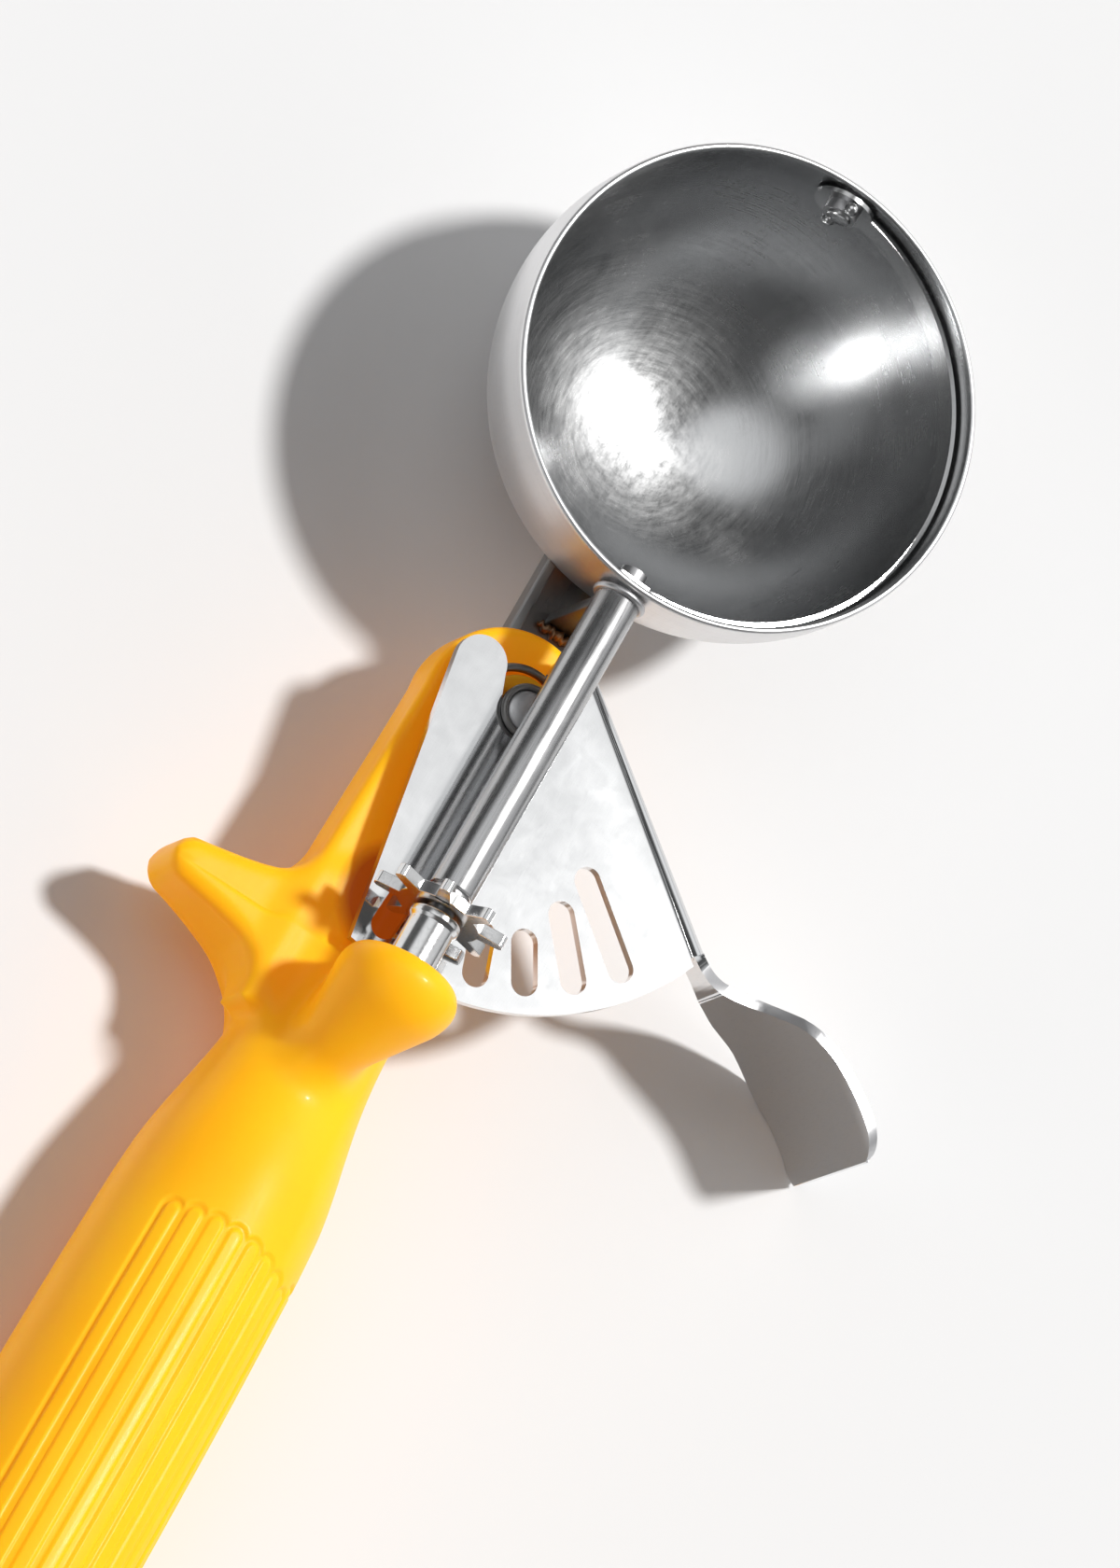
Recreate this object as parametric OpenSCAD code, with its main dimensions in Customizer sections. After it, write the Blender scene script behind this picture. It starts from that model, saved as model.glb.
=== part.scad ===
// Lever ice cream scoop with a thumb plate, a star pinion and a sweeping scraper.
// Frame: the drive axis is X, the bowl's mouth faces +Z, the thumb pad is on the -Y side.
// The origin is the centre of the bowl's half sphere, which lies on the drive axis.

/* [Bowl] */
// Outside diameter of the bowl
bowl_d = 54; // [50:1:58]
// Wall thickness of the bowl
bowl_wall = 0.8; // [0.6:0.1:1.2]
// Height of the straight collar above the drive axis
collar_h = 3.5; // [3:0.5:6]

/* [Scraper] */
// Width of the scraper blade
blade_w = 3; // [2.4:0.2:4]
// Thickness of the scraper blade
blade_t = 0.5; // [0.4:0.1:0.7]
// Running gap between the blade and the bowl
blade_gap = 0.35; // [0.3:0.05:0.6]
// Angle at which the blade is parked below the mouth
park_angle = 2; // [1:0.5:4]

/* [Drive] */
// Diameter of the spindle
spindle_d = 3; // [2.6:0.1:3.2]
// Radial running clearance of each shaft in its bearing
run_gap = 0.06; // [0.04:0.01:0.09]
// Outside diameter of the guide tube
tube_d = 5.1; // [4.9:0.1:5.5]
// Wall thickness of the guide tube
tube_wall = 0.5; // [0.4:0.1:0.6]
// Distance from the bowl's centre to the pinion's front face
pinion_x = 67.9; // [66:0.5:70]
// Thickness of the pinion
pinion_t = 1.4; // [1.2:0.1:1.6]
// Number of pinion teeth
tooth_count = 8; // [8:1:8]
// Tip radius of the pinion
pinion_tip_r = 7.7; // [7.5:0.1:7.8]
// Root radius of the pinion
pinion_root_r = 4.9; // [4.4:0.1:5]
// Width of a tooth at its root
tooth_root_w = 1.8; // [1.5:0.1:1.8]
// Width of a tooth at its tip
tooth_tip_w = 1.3; // [1:0.1:1.3]
// Turn of the pinion at rest, from a tooth pointing straight down
tooth_phase = -20; // [-22:1:-20]

/* [Lever] */
// Thickness of the lever's sheet
sheet_t = 1.2; // [1:0.1:1.4]
// Height of the lever plate's top face below the drive axis
plate_drop = 5.7; // [5.6:0.1:5.8]
// Distance from the bowl's centre to the lever's pivot
pivot_x = 42.25; // [42:0.25:42.75]
// Offset of the shank and the pivot from the drive axis
shank_y = 1.2; // [1:0.1:1.4]
// Radius of the lever plate's toothed edge
plate_r = 32.8; // [32:0.2:33]
// Angle between neighbouring rack slots
slot_pitch = 11.25; // [11.25:0.05:11.25]
// Angle of the first rack slot above the shank's line
slot_first = 3.5; // [3.4:0.1:3.6]
// Number of rack slots
slot_count = 6; // [6:1:6]
// Width of a rack slot
slot_w = 3.1; // [3.1:0.1:3.3]
// Land left between the slots and the plate's round edge
slot_land = 1.95; // [1.6:0.05:2.2]
// Radius of the bend where the sheet turns down
bend_r = 1.8; // [1.6:0.1:2]
// Height of the thumb pad
pad_h = 21; // [18:0.5:21]
// Radius of the thumb pad's curve
pad_curve_r = 22.5; // [20:0.5:26]

/* [Pivot] */
// Diameter of the pivot rivet's shank
rivet_d = 3; // [2.6:0.1:3.2]
// Diameter of the pivot rivet's head
rivet_head_d = 6.1; // [5.4:0.1:6.4]
// Height of the pivot rivet's head
rivet_head_h = 0.8; // [0.6:0.1:1.2]
// Diameter of the spring's wire
wire_d = 0.95; // [0.8:0.05:1]
// Number of turns in the spring's coil
coil_turns = 1.25; // [1:0.25:1.25]
// Radius of the coil at the middle of its wire
coil_r = 5.4; // [5.2:0.1:5.6]

/* [Shank] */
// Width of the shank channel
channel_w = 10; // [9:0.5:11]
// Height of the shank channel
channel_h = 4; // [3.6:0.2:4.4]
// Thickness of the shank's sheet
channel_t = 1.2; // [1:0.1:1.4]
// How far the shank reaches into the handle
tang_len = 26; // [18:1:30]

/* [Handle] */
// Distance from the bowl's centre to the butt of the handle
butt_x = 182; // [176:1:190]
// Largest radius of the grip between its ribs
grip_r = 12; // [11:0.1:12]
// Radius of the neck behind the lever
neck_r = 8.3; // [7.5:0.1:8.8]
// Radius of the hump that holds the rear sleeve
hump_r = 7; // [6:0.25:7.5]
// Radius of the tongue's round end
tongue_r = 10.2; // [9.4:0.2:10.4]
// Thickness of the tongue
tongue_t = 6.6; // [6.2:0.2:7.4]
// Number of ribs round the grip
rib_count = 24; // [20:1:26]
// Height of a rib above the grip
rib_h = 0.55; // [0.3:0.05:0.7]
// Width of a rib
rib_w = 2.4; // [1.6:0.1:2.5]
// How far the finger rest stands out from the handle's axis
rest_reach = 22; // [19:0.5:25]

/* [Hidden] */

$fn = 64;
eps = 0.01;

// Bowl
bowl_r = bowl_d / 2;
bowl_in = bowl_r - bowl_wall;

// Scraper and its ends
blade_out = bowl_in - blade_gap;
blade_in = blade_out - blade_t;
spindle_r = spindle_d / 2;
tube_r = tube_d / 2;
tube_in = tube_r - tube_wall;
eye_r = spindle_r + 1.1;
hub_r = spindle_r + 0.6;
hub_len = 1.3;
far_pin_r = 1.4;
far_head_r = 2.6;
far_head_h = 1.1;
far_eye_r = 3.5;
far_hub_r = far_pin_r + 0.48;
ball_r = 0.8;
ball_spread = 2.75;

// Drive line
tube_front = bowl_r + 0.35;
tube_back = pinion_x - 1.6;
bush_len = 4;
bush_nose = bowl_in - 0.1;
pinion_back = pinion_x + pinion_t;
sleeve_r = tube_r + 0.1;
sleeve_front = pinion_back + 0.35;
lip_r = sleeve_r + 0.35;
lip_len = 0.9;
hump_x = 81.1;
hump_face = 76;
hump_root = hump_face + 20;
sleeve_back = hump_x + 2;
spindle_back = sleeve_back - 1;

// Lever plate
plate_top = -plate_drop;
plate_bottom = plate_top - sheet_t;
face_gap = 0.3;
ear_r = rivet_head_d / 2;
slot_out = plate_r - slot_land - slot_w / 2;
slot_in = pinion_x - pivot_x - 0.6;
slot_growth = 2.9;
even_slots = 4;
arm_r = 3;
arm_pos = [1.85, 7];
lobe_r = 3.2;
lobe_pos = [6, -3.4];
edge_angle = 232.9;
edge_dir = [cos(edge_angle), sin(edge_angle)];
edge_out = [-edge_dir[1], edge_dir[0]];
edge_off = lobe_pos * edge_out + lobe_r;
left_angle = 189.4;
left_dir = [cos(left_angle), sin(left_angle)];
left_out = [left_dir[1], -left_dir[0]];
far_len = plate_r + 8;
lobe_along = lobe_pos * edge_dir;
flange_len = sqrt(plate_r * plate_r - edge_off * edge_off) - lobe_along - 0.4;
flange_start_h = 2.6;
flange_end_h = 5.8;

// Thumb pad: the path turns outwards at the neck and back again along the pad
neck_turn_r = 5.5;
neck_turn = 55;
pad_turn = 66;
neck_arc = neck_turn_r * neck_turn * PI / 180;
pad_arc = pad_curve_r * pad_turn * PI / 180;
pad_corner = 6;
lap = 0.3;
high = plate_top - 0.3;
low = high - pad_h;

// Pivot stack
tongue_top = plate_bottom - 2.7;
bush_top = plate_bottom - face_gap;
bush_r = coil_r - wire_d / 2 - 0.3;
tongue_bottom = tongue_top - tongue_t;
washer_t = 0.8;
washer_r = rivet_head_d / 2 + 0.4;
tail_r = rivet_d / 2 + 1;
tail_h = 0.9;

// Shank
channel_top = tongue_top - 0.8;
channel_bottom = channel_top - channel_h;
channel_round = 1.6;
saddle_t = 1.4;
saddle_x = bowl_r + 1;
saddle_r = tube_r + 1.3;
saddle_leg = 5.2;
bead_r = 0.6;

// Handle
grip_z = grip_r + rib_h - bowl_r;
grip_front = 77;
rib_front = 111;
rib_back = butt_x - 12;
butt_face_r = 6.5;
rest_x = 77.2;
rest_tip_r = 2.4;
rest_h = 6.2;

// ---------- shared shapes ----------

// Cylinder along X between two distances behind the bowl's centre
module rod(r, from_x, to_x) {
    translate([-to_x, 0, 0]) rotate([0, 90, 0]) cylinder(r = r, h = to_x - from_x);
}

// Tapered rod with round ends, turned from its half outline
module tapered(a, ra, b, rb) {
    d = b - a;
    len = norm(d);
    k = (ra - rb) / len;
    c = sqrt(1 - k * k);
    translate(a) rotate([0, acos(d[2] / len), atan2(d[1], d[0])]) rotate_extrude() intersection() {
        union() {
            circle(r = ra);
            translate([0, len]) circle(r = rb);
            polygon([[0, 0], [ra * c, ra * k], [rb * c, len + rb * k], [0, len]]);
        }
        translate([0, -ra - 1]) square([ra + rb, len + ra + rb + 2]);
    }
}

// Bar with round ends, drawn flat along X
module slot_shape(from_x, to_x, w) {
    translate([from_x, -w / 2]) square([to_x - from_x, w]);
    translate([from_x, 0]) circle(d = w);
    translate([to_x, 0]) circle(d = w);
}

// Everything that is placed from the lever's pivot
module at_pivot() {
    translate([-pivot_x, shank_y, 0]) children();
}

// ---------- bowl and shank ----------

module bowl_form(r, top) {
    difference() {
        sphere(r = r, $fn = 128);
        cylinder(r = r + 1, h = r + 1);
    }
    cylinder(r = r, h = top, $fn = 128);
}

module bowl() {
    color("silver") difference() {
        bowl_form(bowl_r, collar_h);
        bowl_form(bowl_in, collar_h + 1);
        rod(tube_in, bowl_in - 2, bowl_r + 1);
        rotate([0, 90, 0]) cylinder(r = far_pin_r, h = bowl_r + 1);
    }
}

module channel_section(w, top, bottom, round_r) {
    translate([-w / 2, bottom + round_r]) square([w, top - bottom - round_r]);
    translate([-w / 2 + round_r, bottom]) square([w - 2 * round_r, round_r + eps]);
    for (side = [-1, 1])
        translate([side * (w / 2 - round_r), bottom + round_r]) circle(r = round_r);
}

// A flat section in Y and Z, drawn out along X
module along_x(from_x, to_x) {
    translate([-to_x, shank_y, 0]) rotate([90, 0, 90]) linear_extrude(to_x - from_x) children();
}

module shank_channel() {
    color("silver") difference() {
        along_x(bowl_r / 2, grip_front + tang_len) difference() {
            channel_section(channel_w, channel_top, channel_bottom, channel_round);
            channel_section(channel_w - 2 * channel_t, channel_top + 1,
                            channel_bottom + channel_t, channel_round - channel_t);
        }
        sphere(r = bowl_r + 0.02, $fn = 128);
        at_pivot() translate([0, 0, channel_bottom - 1]) cylinder(d = rivet_d, h = channel_h + 2);
    }
}

module guide_tube() {
    color("gainsboro") difference() {
        rod(tube_r, tube_front, tube_back);
        rod(tube_in, tube_front - 1, tube_back + 1);
    }
}

module tube_bushes() {
    color("peru") for (span = [[bush_nose, tube_front + bush_len], [tube_back - bush_len, tube_back + 0.5]])
        difference() {
            rod(tube_in, span[0], span[1]);
            rod(spindle_r + run_gap, span[0] - 1, span[1] + 1);
        }
}

module tube_saddle() {
    floor_z = channel_bottom + channel_t;
    color("rosybrown") difference() {
        union() {
            rod(saddle_r, saddle_x, saddle_x + saddle_t);
            translate([-saddle_x - saddle_t, shank_y - saddle_leg / 2, floor_z])
                cube([saddle_t, saddle_leg, -floor_z]);
        }
        rod(tube_r, saddle_x - 1, saddle_x + saddle_t + 1);
    }
}

module braze_beads() {
    floor_z = channel_bottom + channel_t;
    color("rosybrown") {
        translate([-tube_front - bead_r / 4, 0, 0]) rotate([0, 90, 0]) rotate_extrude()
            translate([tube_r + bead_r * 0.75, 0]) circle(r = bead_r * 0.7);
        translate([-saddle_x - saddle_t - bead_r, -saddle_r / 2, floor_z + bead_r])
            rotate([-90, 0, 0]) cylinder(r = bead_r, h = saddle_r);
    }
}

// ---------- handle ----------

// Half outline of the grip: distance behind the bowl's centre, share of the swell from neck to palm
swell = [[0, 0], [9, 0.07], [16, 0.22], [22, 0.42], [28, 0.66], [35, 0.79], [46, 0.9], [58, 0.97], [73, 1]];
butt_fillet = 5;

function swell_r(share) = neck_r + (grip_r - neck_r) * share;
grip_line = concat([for (p = swell) [swell_r(p[1]), grip_front + p[0]]],
                   [[grip_r - 0.15, butt_x - 20], [grip_r - 0.6, butt_x - 10], [grip_r - 1, butt_x - butt_fillet]]);
rib_line = [for (p = swell) if (p[0] > 30) [swell_r(p[1]) + rib_h, grip_front + p[0]]];

// A half outline turned about the grip's axis
module about_grip() {
    translate([0, shank_y, grip_z]) rotate([0, -90, 0]) rotate_extrude() children();
}

module grip_body() {
    end_r = grip_r - 1;
    about_grip() {
        polygon(concat([[0, grip_front]], grip_line, [[0, butt_x - butt_fillet]]));
        intersection() {
            translate([end_r - butt_fillet, butt_x - butt_fillet]) circle(r = butt_fillet);
            translate([0, butt_x - butt_fillet - eps]) square([grip_r, 2 * butt_fillet]);
        }
        translate([0, butt_x - butt_fillet - eps]) square([end_r - butt_fillet, butt_fillet + eps]);
    }
}

module grip_ribs() {
    tip_r = grip_r + rib_h;
    root_r = 0.8 * grip_r;
    intersection() {
        about_grip() polygon(concat([[0, rib_front - 2], [swell_r(0.6), rib_front - 2]], rib_line,
                                    [[tip_r - 0.15, butt_x - 20], [grip_r - 0.8, rib_back + 2], [0, rib_back + 2]]));
        for (i = [0 : rib_count - 1]) translate([0, shank_y, grip_z]) rotate([i * 360 / rib_count, 0, 0])
            translate([0, 0, root_r]) linear_extrude(tip_r + 1 - root_r)
                slot_shape(-rib_back + rib_w / 2, -rib_front - rib_w / 2, rib_w);
    }
}

// Everything of the moulding that lies under the lever plate stays below this flat
module below_plate() {
    intersection() {
        children();
        translate([-2 * grip_front, -grip_front, tongue_top - 40]) cube([2 * grip_front, 2 * grip_front, 40]);
    }
}

module tongue() {
    flat_y = shank_y - 8;
    side_y = shank_y + tongue_r - 0.1;
    translate([0, 0, tongue_bottom]) linear_extrude(tongue_t) difference() {
        union() {
            translate([-pivot_x, shank_y]) circle(r = tongue_r);
            translate([-grip_front - 4, flat_y]) square([grip_front + 4 - pivot_x, side_y - flat_y]);
        }
        translate([-grip_front - 10, flat_y - 20]) square([grip_front + 10, 20]);
    }
}

module keel() {
    below_plate() tapered([-grip_front - 5, shank_y, grip_z - 0.4], neck_r - 0.7, [-58, shank_y, grip_z - 0.4], 4.2);
}

// Finger rest: its plan outline, cut to a rounded end in height
module finger_rest() {
    tip_y = shank_y + rest_reach - rest_tip_r + 2;
    tip_x = rest_x - 1.6;
    intersection() {
        translate([0, 0, grip_z - rest_h]) linear_extrude(tongue_top - grip_z + rest_h) union() {
            polygon([[-tip_x + rest_tip_r - 0.2, tip_y], [-rest_x + 5.9, 15], [-rest_x + 7.7, 10], [-rest_x + 4, 0],
                     [-rest_x - 10, 0], [-rest_x - 9, 9.5], [-rest_x - 4.5, 14.6],
                     [-tip_x - rest_tip_r + 0.1, tip_y - 0.4]]);
            translate([-tip_x, tip_y]) circle(r = rest_tip_r);
        }
        translate([-rest_x - 12, 0, 0]) rotate([90, 0, 90]) linear_extrude(24)
            translate([0, grip_z]) slot_shape(0, tip_y - rest_h + rest_tip_r + 0.4, 2 * rest_h - 0.6);
    }
}

// Hump that rises from the neck to the rear sleeve
module hump() {
    difference() {
        tapered([-hump_x, 0, 0], hump_r, [-hump_root, shank_y, grip_z + 0.5], neck_r - 0.2);
        translate([-hump_face, -20, -20]) cube([30, 40, 40]);
        rod(sleeve_r, sleeve_front, sleeve_back);
    }
}

module handle() {
    color("gold") difference() {
        union() {
            grip_body();
            grip_ribs();
            hump();
            tongue();
            keel();
            finger_rest();
        }
        along_x(bowl_r / 2, grip_front + tang_len)
            channel_section(channel_w, channel_top, channel_bottom, channel_round);
        at_pivot() translate([0, 0, tongue_bottom - 5]) cylinder(d = rivet_d, h = tongue_t + 10);
    }
}

module rear_sleeve() {
    color("silver") difference() {
        union() {
            rod(sleeve_r, sleeve_front, sleeve_back);
            rod(lip_r, sleeve_front, sleeve_front + lip_len);
        }
        rod(spindle_r + run_gap, sleeve_front - 1, spindle_back + 0.3);
    }
}

// ---------- pivot ----------

module spring_bush() {
    color("goldenrod") at_pivot() difference() {
        translate([0, 0, tongue_top]) cylinder(r = bush_r, h = bush_top - tongue_top);
        translate([0, 0, tongue_top - 1]) cylinder(d = rivet_d, h = bush_top - tongue_top + 2);
    }
}

module pivot_rivet() {
    head_z = plate_top + face_gap;
    dome_r = 9;
    color("dimgray") at_pivot() {
        intersection() {
            translate([0, 0, head_z]) cylinder(d = rivet_head_d, h = rivet_head_h);
            translate([0, 0, head_z + rivet_head_h - dome_r]) sphere(r = dome_r, $fn = 96);
        }
        translate([0, 0, tongue_bottom - washer_t - tail_h])
            cylinder(d = rivet_d, h = head_z + eps - tongue_bottom + washer_t + tail_h);
        translate([0, 0, tongue_bottom - washer_t - tail_h]) cylinder(r = tail_r, h = tail_h);
    }
}

module rivet_washer() {
    color("silver") at_pivot() translate([0, 0, tongue_bottom - washer_t]) difference() {
        cylinder(r = washer_r, h = washer_t);
        translate([0, 0, -1]) cylinder(d = rivet_d, h = washer_t + 2);
    }
}

// Round wire swept along a list of points: one ring of corners at each point
wire_sides = 8;
function unit(v) = v / norm(v);
function tangent(p, i) = unit(p[min(i + 1, len(p) - 1)] - p[max(i - 1, 0)]);
function side_of(t) = unit(cross(t, abs(t[2]) > 0.9 ? [1, 0, 0] : [0, 0, 1]));
function ring(p, i, r) = let (t = tangent(p, i), s = side_of(t), u = cross(s, t))
    [for (k = [0 : wire_sides - 1]) p[i] + r * (cos(k * 360 / wire_sides) * s + sin(k * 360 / wire_sides) * u)];

module wire(p, r) {
    n = len(p);
    pts = [for (i = [0 : n - 1]) each ring(p, i, r)];
    walls = [for (i = [0 : n - 2]) for (k = [0 : wire_sides - 1])
        let (a = i * wire_sides + k, b = i * wire_sides + (k + 1) % wire_sides)
            [a, b, b + wire_sides, a + wire_sides]];
    cap_a = [for (k = [wire_sides - 1 : -1 : 0]) k];
    cap_b = [for (k = [0 : wire_sides - 1]) (n - 1) * wire_sides + k];
    polyhedron(points = pts, faces = concat([cap_a], walls, [cap_b]), convexity = 8);
}

// The coil stands on the tongue; one leg hooks into the tongue and one presses on the flange
coil_z = tongue_top + 0.55 * wire_d;
coil_rise = 1.15 * wire_d * coil_turns;
leg_len = 2.4 * coil_r;
hook_len = 0.75 * coil_r;
coil_start = 110;
coil_points = [for (a = [0 : 15 : 360 * coil_turns])
    [coil_r * cos(coil_start + a), coil_r * sin(coil_start + a), coil_z + coil_rise * a / (360 * coil_turns)]];
leg_dir = [-sin(coil_start), cos(coil_start), 0];
end_angle = coil_start + 360 * coil_turns;
end_dir = [-sin(end_angle), cos(end_angle), 0];

module torsion_spring() {
    first = coil_points[0] - leg_dir * hook_len;
    last = coil_points[len(coil_points) - 1];
    color("darkgray") at_pivot()
        wire(concat([first - leg_dir * hook_len / 4, first], coil_points,
                    [last + end_dir * (leg_len / 2), last + end_dir * leg_len]), wire_d / 2);
}

// ---------- lever ----------

module plate_outline() {
    left_start = arm_pos + left_out * arm_r;
    right_start = lobe_pos + edge_out * (lobe_r - bend_r);
    intersection() {
        circle(r = plate_r, $fn = 128);
        polygon([left_start, left_start + left_dir * far_len, [-far_len, -far_len],
                 right_start + edge_dir * far_len, right_start,
                 lobe_pos + [-0.8, lobe_r * 0.95], [1.6, -2.5], [-0.9, 2.8],
                 arm_pos + [1.45, -2.6], arm_pos]);
    }
    translate(arm_pos) circle(r = arm_r);
    intersection() {
        translate(lobe_pos) circle(r = lobe_r);
        edge_strip(-2 * lobe_r - 10, edge_off - bend_r, -10, 40);
    }
    circle(r = ear_r);
}

// Flat strip between two distances from the pivot, measured square to the bent edge
module edge_strip(from_d, to_d, from_s, to_s) {
    multmatrix([[edge_dir[0], edge_out[0], 0, 0], [edge_dir[1], edge_out[1], 0, 0],
                [0, 0, 1, 0], [0, 0, 0, 1]])
        translate([from_s, from_d]) square([to_s - from_s, to_d - from_d]);
}

module rack_slots() {
    for (i = [0 : slot_count - 1])
        rotate(180 - slot_first + slot_pitch * i)
            slot_shape(slot_in - slot_growth * max(0, i - even_slots + 1), slot_out, slot_w);
}

module bent_edge() {
    length = flange_len;
    multmatrix([[edge_dir[0], edge_out[0], 0, edge_dir[0] * lobe_along + edge_out[0] * (edge_off - bend_r)],
                [edge_dir[1], edge_out[1], 0, edge_dir[1] * lobe_along + edge_out[1] * (edge_off - bend_r)],
                [0, 0, 1, plate_top - bend_r], [0, 0, 0, 1]])
        rotate([90, 0, 90]) linear_extrude(length) {
            intersection() {
                difference() {
                    circle(r = bend_r);
                    circle(r = bend_r - sheet_t);
                }
                square(bend_r);
            }
            translate([-lap, bend_r - sheet_t]) square([lap + eps, sheet_t]);
            translate([bend_r - sheet_t, -lap]) square([sheet_t, lap + eps]);
        }
}

module flange_wall() {
    top = plate_top - bend_r;
    multmatrix([[edge_dir[0], edge_out[0], 0, edge_dir[0] * lobe_along + edge_out[0] * (edge_off - sheet_t)],
                [edge_dir[1], edge_out[1], 0, edge_dir[1] * lobe_along + edge_out[1] * (edge_off - sheet_t)],
                [0, 0, 1, 0], [0, 0, 0, 1]])
        translate([0, sheet_t, 0]) rotate([90, 0, 0]) linear_extrude(sheet_t)
            polygon([[0, top], [0, plate_top - flange_start_h], [flange_len + lap, plate_top - flange_end_h],
                     [flange_len + lap, top]]);
}

// Ring sector in the plan: the part of a sheet bent round a centre
module sheet_arc(mid_r, from_a, to_a) {
    steps = 24;
    out_r = mid_r + sheet_t / 2;
    in_r = mid_r - sheet_t / 2;
    intersection() {
        difference() {
            circle(r = out_r, $fn = 128);
            circle(r = in_r, $fn = 128);
        }
        polygon(concat([[0, 0]], [for (i = [0 : steps]) let (a = from_a + (to_a - from_a) * i / steps)
            1.5 * out_r * [cos(a), sin(a)]]));
    }
}

// Point and heading where the flange ends and the thumb pad's path starts
pad_start = edge_dir * (lobe_along + flange_len) + edge_out * (edge_off - sheet_t / 2);
neck_centre = pad_start + edge_out * neck_turn_r;
neck_end = neck_centre - neck_turn_r * [cos(edge_angle + neck_turn + 90), sin(edge_angle + neck_turn + 90)];
pad_centre = neck_end + pad_curve_r * [cos(edge_angle + neck_turn - 90), sin(edge_angle + neck_turn - 90)];

module neck_plan() {
    translate(neck_centre) sheet_arc(neck_turn_r, edge_angle - 90, edge_angle + neck_turn - 90);
}

module pad_plan() {
    translate(pad_centre) sheet_arc(pad_curve_r, edge_angle + neck_turn + 91, edge_angle + neck_turn + 90 - pad_turn);
}

// Outline of the thumb pad seen square on: its length runs outwards from the neck
module pad_face() {
    far = pad_curve_r * sin(pad_turn / 2) * 2 + 4;
    difference() {
        polygon([[-20, plate_top], [-6.5, plate_top], [-3.5, high - 2], [0, high - 3], [4, high - 2.9],
                 [10, high - 1.8], [15, high - 0.6], [20, high], [far, high], [far, low], [17, low],
                 [12, low + 0.8], [8.5, low + 3], [5.2, low + 7], [2.2, low + 9.8], [-1.5, low + 11.8],
                 [-5.5, plate_top - flange_end_h - 1], [-8.5, plate_top - flange_end_h],
                 [-20, plate_top - flange_end_h]]);
        for (side = [0, 1]) translate([pad_end_s, side ? high : low])
            mirror([0, side]) difference() {
                translate([-pad_corner, -1]) square([pad_corner + 20, pad_corner + 1]);
                translate([-pad_corner, pad_corner]) circle(r = pad_corner);
            }
    }
}

// Chord direction of the pad, which its outline is squared to
chord_angle = edge_angle + neck_turn - pad_turn / 2;
chord_dir = [cos(chord_angle), sin(chord_angle)];
pad_end = pad_centre + pad_curve_r * [cos(chord_angle - pad_turn / 2 + 90), sin(chord_angle - pad_turn / 2 + 90)];
pad_end_s = (pad_end - neck_end) * chord_dir;

module thumb_pad() {
    intersection() {
        translate([0, 0, low - 1]) linear_extrude(plate_top - low + 1) {
            neck_plan();
            pad_plan();
        }
        translate([neck_end[0], neck_end[1], 0]) rotate([0, 0, chord_angle])
            translate([0, 30, 0]) rotate([90, 0, 0]) linear_extrude(60) pad_face();
    }
}

module lever_plate() {
    color("whitesmoke") at_pivot() {
        difference() {
            translate([0, 0, plate_bottom]) linear_extrude(sheet_t) difference() {
                plate_outline();
                rack_slots();
            }
            translate([0, 0, plate_bottom - 1]) cylinder(r = rivet_d / 2 + run_gap, h = sheet_t + 2);
        }
        bent_edge();
        flange_wall();
        thumb_pad();
    }
}

// ---------- drive and scraper ----------

module tooth_shape() {
    polygon([[0, -tooth_root_w / 2], [pinion_root_r, -tooth_root_w / 2],
             [pinion_tip_r - tooth_tip_w / 4, -tooth_tip_w / 2], [pinion_tip_r, -tooth_tip_w / 4],
             [pinion_tip_r, tooth_tip_w / 4], [pinion_tip_r - tooth_tip_w / 4, tooth_tip_w / 2],
             [pinion_root_r, tooth_root_w / 2], [0, tooth_root_w / 2]]);
}

module pinion() {
    color("burlywood") translate([-pinion_back, 0, 0]) rotate([90, 0, 90]) linear_extrude(pinion_t)
        difference() {
            union() {
                circle(r = pinion_root_r);
                for (i = [0 : tooth_count - 1]) rotate(tooth_phase - 90 + i * 360 / tooth_count) tooth_shape();
            }
            circle(r = spindle_r);
        }
}

module drive_spindle() {
    color("gray") rod(spindle_r, blade_in - hub_len, spindle_back);
}

module blade_shell() {
    difference() {
        sphere(r = blade_out, $fn = 128);
        sphere(r = blade_in, $fn = 128);
    }
}

module scraper_blade() {
    color("silver") rotate([park_angle, 0, 0]) difference() {
        intersection() {
            blade_shell();
            union() {
                translate([-bowl_r, -bowl_r, -blade_w / 2]) cube([2 * bowl_r, bowl_r, blade_w]);
                rod(eye_r, 0, bowl_r);
                rotate([0, 90, 0]) cylinder(r = far_eye_r, h = bowl_r);
            }
        }
        rod(spindle_r, 1, bowl_r);
        rotate([0, 90, 0]) cylinder(r = far_pin_r + run_gap, h = bowl_r);
    }
}

module near_hub() {
    color("silver") difference() {
        rod(hub_r, blade_in - hub_len, sqrt(blade_in * blade_in - hub_r * hub_r) - eps);
        rod(spindle_r, blade_in - hub_len - 1, bowl_r);
    }
}

module far_hub() {
    color("silver") mirror([1, 0, 0]) difference() {
        rod(far_hub_r, blade_in - hub_len, sqrt(blade_in * blade_in - far_hub_r * far_hub_r) - eps);
        rod(far_pin_r + run_gap, blade_in - hub_len - 1, bowl_r);
    }
}

module ball_rivets() {
    seat_x = sqrt(blade_in * blade_in - ball_spread * ball_spread) - ball_r - eps;
    color("silver") rotate([park_angle, 0, 0]) for (side = [-1, 1])
        translate([seat_x, 0, side * ball_spread]) sphere(r = ball_r);
}

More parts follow.
